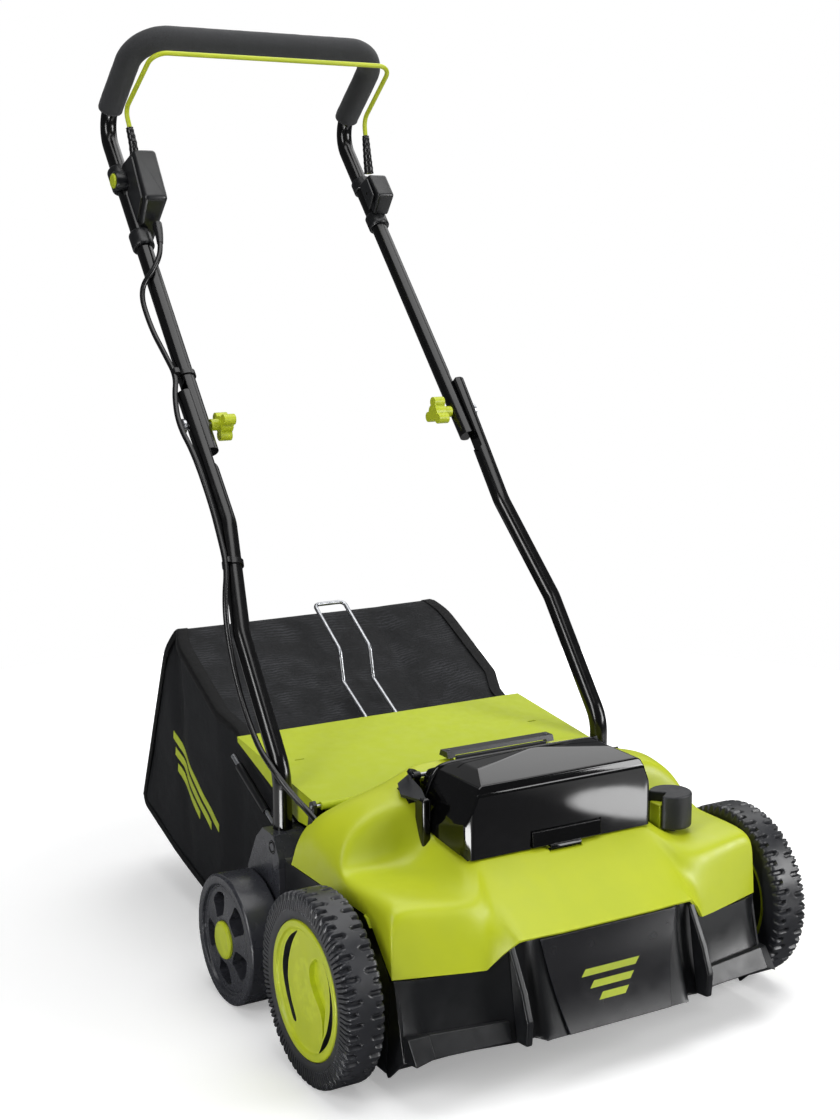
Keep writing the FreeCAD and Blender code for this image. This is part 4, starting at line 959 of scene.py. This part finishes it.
# the hatch seen from its side (y, z), from the front (x, z) and from above (x, y)
HATCH_SIDE = [(-37, 214), (72, 214), (72, 286), (70, 292), (22, 313), (-33, 299), (-37, 290)]
HATCH_FRONT = [
    (-127, 214), (127, 214), (127, 246), (107, 297), (88, 307), (0, 313), (-88, 307), (-107, 297),
    (-127, 246),
]
HATCH_PLAN = [
    (-127, 76), (-127, 20), (-122.4, -30), (-116.5, -37), (116.5, -37), (122.4, -30), (127, 20), (127, 76),
]
HATCH_CUTS = (
    # the open foot and the open rear
    ((-123, -33, 200), (123, 68, 232)),
    ((-123, 60, 200), (123, 80, 277)),
    # the latch, and the hinge at each end
    ((-42.5, -45, 213), (50.5, -35.2, 240.5)),
    ((-125.2, 68, 228), (-114.8, 82, 292)),
    ((114.8, 68, 228), (125.2, 82, 292)),
)
# the hatch's edge beside the bezel (y, z), and the thin groove in its top (x, y)
HATCH_EDGE = [(-60, 200), (-50, 220.5), (-36, 220.5), (-30, 222), (29, 233.5), (90, 237), (90, 200)]
HATCH_GROOVE = [
    (-96, 27.4), (-20, 24.6), (-18.5, 26), (-16.5, 24.4), (60, 21.2), (112, 19), (112, 17.6), (60, 19.8),
    (-16.5, 23), (-18.5, 21.6), (-20, 23.2), (-96, 26),
]


def hatch_planes(grow):
    outlines = ((0, HATCH_SIDE), (2, HATCH_PLAN), (1, HATCH_FRONT))
    return sum((profile_planes(axis, outline, grow) for axis, outline in outlines), [])


def battery_hatch():
    outer = convex(hatch_planes(0.0))
    bmesh.ops.bevel(outer, geom=outer.edges[:], offset=0.0026, segments=4, profile=0.6, affect="EDGES")
    shell = mesh_of(outer, "battery_hatch_outer")
    inner = mesh_of(convex(hatch_planes(-3.0)), "battery_hatch_inner")
    pieces = [block(low, high) for low, high in HATCH_CUTS] + [extruded(0, HATCH_EDGE, -135, 135)]
    cutters = [inner] + [solid("room", [piece]) for piece in pieces] + [groove_cutter()]
    mesh = carved(shell, cutters)
    add("battery_hatch_shape", mesh, "gloss", "hatch", ["battery_hatch"], angle=28)


def top_height(x, y):
    """The hatch's top surface."""
    over_y = 299 + (y + 33) * 14 / 55 if y < 22 else 313 - (y - 22) * 21 / 48
    over_x = 313 - abs(x) * 6 / 88 if abs(x) < 88 else 307 - (abs(x) - 88) * 10 / 19
    return min(over_y, over_x)


def groove_cutter():
    """The groove's outline, from 1.4 mm under the hatch's top to above it."""
    points = [at(x, y, top_height(x, y) + lift) for lift in (-1.4, 6.0) for x, y in HATCH_GROOVE]
    return built("trough", points, extruded(2, HATCH_GROOVE, 0, 0)[1], triangles=True)


def knob_arc(radius, first, last):
    """Part of a circle round the knob's axis, between two angles in degrees."""
    return [(KNOB[0] + radius * math.cos(math.radians(a)), KNOB[1] + radius * math.sin(math.radians(a)))
            for a in range(first, last + 1, 6)]


def depth_knob():
    grip = solid("knob", [extruded(2, knob_arc(24.6, -152, 148) + [(152, -22.5)], 208.5, 248.2)])
    soften(add("depth_knob_shape", grip, "matt", "depth_knob", ["depth_knob"]), 5.0, 5, 40)
    stem = ring_z("knob_stem", [(6.4, 170), (6.4, 210), (0.3, 210), (0.3, 170)], 32, KNOB)
    add("knob_stem", stem, "matt", "depth_knob")
    insert = solid("insert", [extruded(2, knob_arc(23.4, -210, -156) + [(151.4, -22.5)], 208.5, 237)])
    node = "depth_knob_insert"
    soften(add(node + "_shape", insert, "lime_deep", "depth_knob", [node]), 2.0, 3, 40)


# ---- apron ---------------------------------------------------------------------------------------------

# x, then the skin's top and foot (y, z)
APRON = [
    (236, (-80, 129), (-100, 48)), (217, (-89, 129), (-118, 58)), (142, (-102, 129), (-128, 56)),
    (125, (-107, 145), (-131, 56)), (113, (-112, 159), (-133, 56)), (100, (-112, 159), (-133, 57)),
    (92, (-122, 159), (-146, 57)),
]
# x, then the foot's outline (y, z)
APRON_FEET = [
    (128, [(-127.5, 56), (-134, 60), (-129, 80), (-123, 80)]),
    (217, [(-116, 58), (-131, 62), (-118, 82), (-111, 82)]),
    (235, [(-99, 49), (-124, 53), (-106, 76), (-95, 76)]),
]
# the ribs beside the centre panel and the cheeks at the ends (y, z)
RIB = [(-112.5, 159), (-141, 112), (-152, 84), (-150, 58), (-131, 56)]
CHEEK = [(-79.5, 128.5), (-99.5, 49), (-66, 18), (-62.4, 21.5), (-72.4, 126), (-74, 128.5)]
APRON_BOW = 4.6
# the centre panel's left side, top and foot
PANEL = [(-88, -122.6, 158), (-66, -146.6, 58.4)]


def bowed(grid):
    """Each column of the grid, top to foot, hollowed out so that its foot sweeps forward."""
    grid = grid.copy()
    rows = grid.shape[1]
    for row in range(rows):
        s = row / (rows - 1)
        grid[:, row, 1] += APRON_BOW * 4 * s * (1 - s)
    return grid


def apron_skin():
    half = [[(x, *top), (x, *foot)] for x, top, foot in APRON]
    grid = relaxed(bowed(refined([mirrored(pair) for pair in half] + half[::-1], 5)), 3)
    skin = sheet_mesh("front_apron_shape", grid[::-1], 3.2)
    add("front_apron_shape", skin, "deck", "root", ["front_apron"], angle=30)


def apron_parts():
    """Ribs, cheeks and feet, each with the width of its rounded edges."""
    pieces = []
    for side in (-1, 1):
        pieces.append((extruded(0, RIB, side * 113, side * 121), 2.2))
        pieces.append((extruded(0, CHEEK, side * 232, side * 236), 1.0))
        for (x0, first), (x1, last) in zip(APRON_FEET, APRON_FEET[1:]):
            corners = [(side * x0, y, z) for y, z in first] + [(side * x1, y, z) for y, z in last]
            # the faces of a drawn-out outline, between two ends that differ
            _, faces = extruded(0, first, x0, x1)
            pieces.append(((corners, faces), 1.0))
    for index, (piece, width) in enumerate(pieces):
        soften(add(f"apron_part_{index}", solid("part", [piece]), "deck", "root", ()), width)


def apron_panel():
    plate = bowed(refined([PANEL, mirrored(PANEL)], 5))
    plate[..., 1] -= 2.6
    mesh = sheet_mesh("apron_panel_shape", plate[::-1], 2.3)
    panel = add("apron_panel_shape", mesh, "panel", "root", ["apron_panel"], angle=30)
    soften(panel, 0.7, 2, 40)


def apron_stripes():
    """Three plain stripes in place of any mark, each one shorter than the one above it."""
    rows, columns = 3, 24
    fronts = []
    for k in range(3):
        front = []
        for row in range(rows):
            s = 0.42 + 0.13 * k + 0.07 * row / 2
            y = PANEL[0][1] - 24 * s + APRON_BOW * 4 * s * (1 - s) - 2.75
            for column in range(columns):
                x = -38 + 9 * k + (70 - 18 * k) * column / (columns - 1) + 3 * (1 - row)
                front.append((x, y, PANEL[0][2] - 99.6 * s))
        fronts.append(front)
    mesh = slabs("apron_stripes", fronts, columns, (0, 0.6, 0))
    add("apron_stripes", mesh, "print", "root", ())


# ---- round the hatch -----------------------------------------------------------------------------------

def bezel_wing(label, side):
    """The pointed cap and the post at the hatch's rear corner."""
    corners = [
        [(149, 60, 273), (142, 78, 279), (116, 86, 289)],
        [(142, 42, 272), (136, 60, 280), (129.5, 80, 290)],
        [(134, 28, 271), (129.8, 46, 279), (129.8, 68, 286)],
    ]
    plate = relaxed(refined([[(side * x, y, z) for x, y, z in row] for row in corners], 2.5), 2)
    outward = plate if side < 0 else plate[::-1]
    wing = add(f"bezel_wing_{label}", sheet_mesh("wing", outward, 4.5), "matt", "root", ())
    soften(wing, 1.1, 3, 35)
    post = solid("post", [block((side * 128.3, 27, 216), (side * 139, 47, 273))])
    soften(add(f"bezel_post_{label}", post, "gloss", "root", ()), 3.6, 5, 35)


def hatch_rim():
    """The raised bead along the hatch's rear edge, hooked down at both ends."""
    half = [(123, 60, 252), (118, 58, 268), (113, 56, 283), (107, 53, 296), (99, 50, 300.2), (80, 49, 301.2),
            (40, 49, 301.4)]
    corners = [at(*point) for point in mirrored(half) + half[::-1]]
    line = [first.lerp(second, k / 4) for first, second in zip(corners, corners[1:]) for k in range(4)]
    line.append(corners[-1])
    for _ in range(3):
        line = [line[0]] + [(a + b * 2 + c) / 4 for a, b, c in zip(line, line[1:], line[2:])] + [line[-1]]
    sizes = [0.0034 * min(1.0, 0.35 + min(k, len(line) - 1 - k) / 5) for k in range(len(line))]
    add("hatch_rim", tube_mesh("hatch_rim", line, sizes, 16), "gloss", "hatch", (), angle=50)


def bracket_socket(name, side):
    """The dark collar round the bracket's screw."""
    profile = [
        (240.2, 4.7), (240.2, 8.2), (243.2, 8.2), (243.7, 7.6), (243.7, 6.8), (241.6, 5.6), (241.6, 4.7),
    ]
    ring = ring_mesh("socket", profile, 40, (189, 190), side)
    add(f"bracket_socket_{name}", ring, "gloss", "root", ())


def carry_hollow_shade():
    """The dark matt blocks in the hollow under the carry bar: a plate on its floor that is painted shade, and
    a strip along its front edge.
    """
    for name, low, high, width, segments in (
        ("carry_skirt", (-61, 85.5, 284.5), (61, 89.5, 295.5), 1.2, 3),
        ("carry_hollow_shade", (-62, 80, 262), (62, 114, 265), 1.0, 2),
    ):
        obj = add(name, solid(name, [block(low, high)]), "matt", "root", ())
        soften(obj, width, segments, 40)


# ---- grass bag -----------------------------------------------------------------------------------------

# the bag from its side (y, z), from the top of its mouth round the rear to the foot of the mouth
BAG_WRAP = [(277.5, 224), (365, 258.5), (580, 368), (697, 106), (689, 92), (506, 44), (362, 17), (303, 35)]
WRAP_BENDS = [0, 40, 17, 7, 7, 60, 28, 0]
BAG_TOP = BAG_WRAP[:4]
BAG_FOOT = BAG_WRAP[:2:-1]
BAG_CORNER = (578, 364)
BAG_MIDDLE = (470.0, 180.0)
CLOTH = 1.6
# the bag's faces below this height, in metres, are its floor
FLOOR_TOP = 0.085


def bag_half_width(y, z):
    """Half the bag's width, which draws in at its upper rear corner."""
    wide = np.interp(y, [230, 392, 424, 576, 720], [195, 195, 207, 207, 202])
    corner = math.hypot(y - BAG_CORNER[0], z - BAG_CORNER[1])
    return wide - 11 * math.exp(-(corner / 24) ** 2)


def along(path, count):
    """Points spaced evenly along a path."""
    path = np.array(path, float)
    steps = np.concatenate([[0], np.cumsum(np.linalg.norm(np.diff(path, axis=0), axis=1))])
    wanted = np.linspace(0, steps[-1], count)
    return np.stack([np.interp(wanted, steps, path[:, k]) for k in range(path.shape[1])], axis=1)


def ripple(x, y, z, size, seed):
    """Smooth noise between -1 and 1, with blobs of about size."""
    return noise.noise(Vector((x / size + seed, y / size, z / size)))


def inward_at(path, row):
    """The direction into the bag, square to its outline at one of the outline's points."""
    ahead, behind = path[min(row + 1, len(path) - 1)], path[max(row - 1, 0)]
    run = (ahead - behind) / np.linalg.norm(ahead - behind)
    inward = np.array([run[1], -run[0]])
    return -inward if np.dot(inward, np.array(BAG_MIDDLE) - path[row]) < 0 else inward


def wrap_grid(columns=48, rows=140):
    """The top, the rear and the floor of the bag as one sheet that sags between its seams."""
    path = along(rounded_path(BAG_WRAP, WRAP_BENDS, 6), rows)
    grid = np.zeros((rows, columns, 3))
    for row, (y, z) in enumerate(path):
        inward = inward_at(path, row)
        mouth = min(1.0, row / 14) * min(1.0, (rows - 1 - row) / 10)
        corner = 1 - math.exp(-(math.hypot(y - BAG_CORNER[0], z - BAG_CORNER[1]) / 34) ** 2) * 0.9
        for column in range(columns):
            t = 2 * column / (columns - 1) - 1
            x = t * (bag_half_width(y, z) - 0.6)
            free = (1 - t ** 4) * mouth * corner
            # hollow between the wire handle and the right edge, and small folds that run with the pull
            sag = 5.5 + 5 * math.exp(-((x - 92) / 46) ** 2) * (1 if y > 300 and z > 200 else 0)
            fold = 3.2 * ripple(x, y * 0.6, z, 62, 3.1) + 1.3 * ripple(x, y, z, 24, 8.4)
            crease = 2.4 * math.exp(-((x - 78 - 0.16 * (y - 400)) / 9) ** 2) if z > 200 else 0
            sink = max(0.0, (sag + fold + crease) * free)
            grid[row, column] = (x, y + inward[0] * sink, z + inward[1] * sink)
    return grid


def side_grid(side, columns=56, rows=40):
    """A side panel of heavier cloth, drawn from its top edge down to its foot."""
    top = along(rounded_path(BAG_TOP, [0, 40, 17, 0], 6), columns)
    foot = along(rounded_path(BAG_FOOT, [0, 28, 60, 7, 0], 6), columns)
    grid = np.zeros((rows, columns, 3))
    for row in range(rows):
        v = row / (rows - 1)
        for column in range(columns):
            u = column / (columns - 1)
            y, z = top[column] * (1 - v) + foot[column] * v
            edge_y, edge_z = top[column]
            width = bag_half_width(y, z) * v + bag_half_width(edge_y, edge_z) * (1 - v)
            free = math.sin(math.pi * v) ** 0.5 * min(1.0, u * 9) * min(1.0, (1 - u) * 6)
            sink = (3.0 + 2.6 * ripple(y, z, side * 50, 90, 1.7) + 1.1 * ripple(y, z, 4, 30, 5.2)) * free
            grid[row, column] = (side * (width - 0.6 - max(0.0, sink)), y, z)
    return grid


def binding_strip(name, path, side):
    """Folded tape over a seam: a flat band on the wrap, a round fold and a narrower band on the side."""
    section = [(-17, 0.4), (-16.6, -0.9), (-9, -1.1), (-3.5, -1.2), (-0.9, -0.4), (0.0, 1.8), (0.3, 5),
               (0.2, 10.5), (-0.3, 11)]
    grid = np.zeros((len(path), len(section), 3))
    for row, (y, z) in enumerate(path):
        inward = inward_at(path, row)
        for k, (across, down) in enumerate(section):
            x = side * (bag_half_width(y, z) + across + 0.2)
            sink = down + 0.5 * ripple(y, z, across, 16, 2.2) * 0.4
            grid[row, k] = (x, y + inward[0] * sink, z + inward[1] * sink)
    return sheet_mesh(name, grid if side < 0 else grid[:, ::-1], 1.1)


def side_at(grid, y, z):
    """The side panel's x at a place in y and z: a mean of its six nearest points."""
    flat = grid.reshape(-1, 3)
    gaps = (flat[:, 1] - y) ** 2 + (flat[:, 2] - z) ** 2
    near = np.argsort(gaps)[:6]
    share = 1 / (gaps[near] + 4)
    return float((flat[near, 0] * share).sum() / share.sum())


def print_bars(name, grid, side):
    """Three plain slanted stripes printed on the side panel."""
    start, run, across = np.array([574.0, 222.0]), np.array([-0.85, -0.527]), np.array([0.527, -0.85])
    rows, columns = 3, 40
    half_width, pitch = 4.5, 15
    fronts = []
    for k, (low, high) in enumerate(((0, 168), (16, 150), (32, 118))):
        front = []
        for row in range(rows):
            for column in range(columns):
                lean = 0.55 * (row - 1) * half_width
                spot = start + run * (low + (high - low) * column / (columns - 1) + lean)
                spot = spot + across * (k * pitch + (row - 1) * half_width)
                front.append((side_at(grid, *spot) + side * 0.5, *spot))
        fronts.append(front)
    return slabs(name, fronts, columns, (-side * 0.8, 0, 0))


def catcher_bag():
    wrap = sheet_mesh("bag_wrap", wrap_grid()[:, ::-1], CLOTH)
    wrap_piece = add("bag_wrap", wrap, "net", "catcher", ["catcher_bag"], angle=60)
    wrap.materials.append(looks["fabric_base"])
    for polygon in wrap.polygons:
        if polygon.center.z < FLOOR_TOP:
            polygon.material_index = 1
    seam = along(rounded_path(BAG_WRAP, WRAP_BENDS, 6), 150)
    for label, side in SIDES:
        grid = side_grid(side)
        shape = sheet_mesh("panel", grid if side > 0 else grid[:, ::-1], CLOTH)
        panel = add(f"bag_side_{label}", shape, "fabric_side", "catcher", ["catcher_bag"],
                    angle=60)
        strip = binding_strip("tape", seam, side)
        add(f"bag_binding_{label}", strip, "binding", "catcher", (), angle=50)
        bars = add(f"bag_print_{label}", print_bars("bars", grid, side), "print", "catcher", ())


# ---- cable ---------------------------------------------------------------------------------------------

# from the switch box down to the deck
CABLE_ROUTE = [
    (-168, 672, 884.5), (-171, 653, 862), (-186, 636, 836), (-211, 636, 806), (-208, 606, 758),
    (-205, 562, 722), (-205, 531, 699), (-216.5, 510, 676), (-222.5, 484, 643), (-217.5, 450, 611),
    (-214, 410, 556), (-215.5, 382, 519), (-219.5, 352, 484), (-232, 332, 452), (-238, 314, 414),
    (-240, 280, 352), (-240.5, 232, 300), (-238, 192, 278), (-227, 165, 254), (-217, 140, 238),
    (-217, 118, 230),
]
CABLE_DIAMETER = 0.007
# the sleeve at the switch box: how far it follows the cable, how far it reaches back into the box, and its
# radius at its start and at its end, in metres
SLEEVE_LENGTH = 0.026
SLEEVE_ROOTS = (0.0085, 0.004)
SLEEVE_RADII = (0.0062, 0.0041)


def route_points(name, controls):
    """The curve that the CAD's cable follows too, as points."""
    data = bpy.data.curves.new(name, "CURVE")
    data.dimensions = "3D"
    data.resolution_u = 16
    spline = data.splines.new("NURBS")
    spline.points.add(len(controls) - 1)
    for point, control in zip(spline.points, controls):
        point.co = (*at(*control), 1)
    spline.order_u = 3
    spline.use_endpoint_u = True
    holder = bpy.data.objects.new(name, data)
    line = bpy.data.meshes.new_from_object(holder)
    points = [vertex.co.copy() for vertex in line.vertices]
    bpy.data.objects.remove(holder)
    return points


def cable_sleeve(points):
    """The strain relief at the switch box, which tapers down to the cable."""
    start = points[0]
    back = (start - points[3]).normalized()
    line = [start + back * root for root in SLEEVE_ROOTS]
    line += [point for point in points if (point - start).length < SLEEVE_LENGTH]
    sizes = []
    for point in line:
        inside = (point - start).dot(back) > 0
        share = 0.0 if inside else min(1.0, (point - start).length / SLEEVE_LENGTH)
        sizes.append(SLEEVE_RADII[0] * (1 - share) + SLEEVE_RADII[1] * share)
    return add("cable_gland_shape", tube_mesh("cable_gland_shape", line, sizes), "rubber", "upper_handle",
               ["cable_gland"])


def cable():
    points = route_points("cable_route", CABLE_ROUTE)
    mesh = tube_mesh("cable_shape", points, [CABLE_DIAMETER / 2] * len(points))
    obj = add("cable_shape", mesh, "rubber", None, ["cable"])
    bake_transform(obj)
    length = sum((second - first).length for first, second in zip(points, points[1:]))
    gland = cable_sleeve(points)
    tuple(points[0])


# ---- the two boxes on the handle -------------------------------------------------------------------------

# the upper tube's left half: its foot, its bend and its top corner
UPPER_TUBE = [(-188.4, 467.0, 608.6), (-182.5, 824.0, 1027.0), (-180.0, 698.7, 1132.4)]
TUBE_RUN = (Vector(UPPER_TUBE[1]) - Vector(UPPER_TUBE[0])).normalized()
# a clamp's length, as shares from its middle, and how much smaller than its radius it is there
CLAMP_SHARES = (-0.5, -0.46, -0.42, -0.2, 0.2, 0.42, 0.46, 0.5)
CLAMP_DROPS = (1.6, 0.5, 0, 0, 0, 0, 0.5, 1.6)
# the taper begins this far above the box's foot
TAPER_HEIGHT = 62


def handle_box(name, side, outline, across, taper, rounding, clamps, slot):
    """A rounded box beside the tube, narrower at its foot, with a clamp above and below it."""
    near, far = across
    turn = (side * near, 0, min(z for _, z in outline) + TAPER_HEIGHT)
    planes = profile_planes(0, outline[::-1], 0.4)
    planes.append(((side * far, 0, 0), (side, 0, 0)))
    planes.append((turn, (-side, 0, 0)))
    planes.append((turn, (-side * math.cos(taper), 0, -math.sin(taper))))
    box = convex(planes)
    bmesh.ops.bevel(box, geom=box.edges[:], offset=rounding / 1000, segments=5, profile=0.55, affect="EDGES")
    mesh = carved(mesh_of(box, "box"), [solid("slot", [slot])])
    add(f"{name}_shape", mesh, "satin", "upper_handle", [name], angle=40)
    run = Vector((-side * TUBE_RUN.x, TUBE_RUN.y, TUBE_RUN.z))
    for index, (middle, length, radius) in enumerate(clamps):
        line = [at(*(Vector(middle) + run * length * share)) for share in CLAMP_SHARES]
        sizes = [(radius - drop) / 1000 for drop in CLAMP_DROPS]
        add(f"{name}_clamp_{index}", tube_mesh("clamp", line, sizes, 40), "satin", "upper_handle", ())


def handle_boxes():
    """The switch box and the pivot box, each with the slot that the bail goes through."""
    handle_box(
        "switch_housing", -1, [(712, 989), (769, 966), (724, 879), (703, 866), (671, 925)], (152, 185), 0.16,
        6.0, [((-185, 758, 950), 34, 15.5), ((-185, 688, 868), 26, 15)],
        block((-182, 713, 964), (-173, 744, 1000)),
    )
    collar = [(184, 10.2), (184, 13), (200.2, 13), (201.2, 12.4), (201.5, 11.4), (201.5, 10.2)]
    add("start_collar", ring_mesh("start_collar", collar, 56, (742, 948), -1), "satin", "upper_handle", ())
    handle_box(
        "pivot_housing", 1, [(708, 963), (741, 950), (703, 906), (683, 934)], (168, 198), 0.1, 4.5,
        [((185, 755, 947), 18, 15), ((185, 712, 896), 22, 15)], block((173, 711, 930), (182, 744, 980)),
    )


# ---- foam grip and bail boots --------------------------------------------------------------------------

def arc_route(corners, radii, gap):
    """Straight runs joined by arcs, as points about gap metres apart; corners and radii in millimetres."""
    corners = [at(*corner) for corner in corners]
    points = [corners[0]]

    def run_to(target):
        start = points[-1]
        count = max(1, round((target - start).length / gap))
        points.extend(start.lerp(target, k / count) for k in range(1, count + 1))

    for before, corner, after, radius in zip(corners, corners[1:], corners[2:], radii):
        inward, outward = (before - corner).normalized(), (after - corner).normalized()
        half = (math.pi - inward.angle(outward)) / 2
        reach = radius / 1000 * math.tan(half)
        centre = corner + (inward + outward).normalized() * (radius / 1000 / math.cos(half))
        run_to(corner + inward * reach)
        first, last = points[-1] - centre, corner + outward * reach - centre
        count = max(2, round(2 * half * radius / 1000 / gap))
        turn = first.rotation_difference(last)
        for k in range(1, count + 1):
            step = Matrix.Identity(3).to_quaternion().slerp(turn, k / count)
            points.append(centre + step @ first)
    run_to(corners[-1])
    return points


# distance from the foam's end in metres, and the radius there
FOAM_ENDS = ((0.0, 13.4), (0.0008, 15.4), (0.0020, 16.4))
FOAM_RADIUS = 17.0
# the foam covers the tube above this height, in metres
FOAM_FOOT = 1.041
ROUTE_GAP = 0.004


def grip_foam():
    """The foam sleeve: a slightly uneven skin with rounded ends."""
    route = arc_route(UPPER_TUBE + mirrored(UPPER_TUBE[::-1]), [40, 46, 46, 40], ROUTE_GAP)
    points = [point for point in route if point.z > FOAM_FOOT]
    first = [points[0].lerp(points[1], d / ROUTE_GAP) for d, _ in FOAM_ENDS]
    last = [points[-1].lerp(points[-2], d / ROUTE_GAP) for d, _ in FOAM_ENDS[::-1]]
    points = first + points[1:-1] + last
    rounded = [radius for _, radius in FOAM_ENDS]
    sizes = rounded + [FOAM_RADIUS] * (len(points) - 6) + rounded[::-1]
    mesh = tube_mesh("grip_foam_shape", points, [(size - 0.25) / 1000 for size in sizes], sides=40)
    for vertex in mesh.vertices:
        spot = vertex.co * 1000
        vertex.co += vertex.normal * (0.0003 * noise.noise(spot / 14) + 0.00012 * noise.noise(spot / 5))
    obj = add("grip_foam_shape", mesh, "foam", "upper_handle", ["grip_foam"], angle=50)


# points along the left boot, from its foot up; the boot on the right is its mirror image
BOOT_LINE = [
    (-177.5, 722.4, 965), (-177.5, 723.4, 972), (-177.5, 725.0, 980), (-177.6, 726.9, 989),
    (-177.9, 728.9, 998), (-178.5, 731.4, 1006), (-179.2, 734.0, 1014), (-179.5, 735.2, 1018),
]


def bail_boots():
    """Rubber boots where the wire goes into its two boxes, ringed and wider at the foot."""
    for label, places in (("left", BOOT_LINE), ("right", mirrored(BOOT_LINE))):
        line = [at(*place) for place in places]
        dense = [first.lerp(second, k / 5) for first, second in zip(line, line[1:]) for k in range(5)]
        dense.append(line[-1])
        last = len(dense) - 1
        sizes = [(6.6 - 1.9 * (k / last) + (0.35 if k % 5 < 2 else 0.0)) / 1000 for k in range(len(dense))]
        mesh = tube_mesh(f"bail_boot_{label}", dense, sizes, 24)
        add(f"bail_boot_{label}", mesh, "rubber", "bail", ["bail_boots"], angle=50)


# ---- the whole scene -----------------------------------------------------------------------------------

make_stage()
looks = make_materials()
top_cover()
for label, side in SIDES:
    bezel_wing(label, side)
carry_hollow_shade()
for label, side in SIDES:
    bracket_socket(label, side)
apron_skin()
apron_parts()
apron_panel()
apron_stripes()
for label, side in SIDES:
    front_tyre(label, side)
    front_disc(label, side)
for label, side in SIDES:
    rear_wheel(label, side)
battery_hatch()
depth_knob()
for row in SOFTENED:
    softened(*row)
catcher_bag()
cable()
grip_foam()
bail_boots()
hatch_rim()
handle_boxes()
plain_nodes()
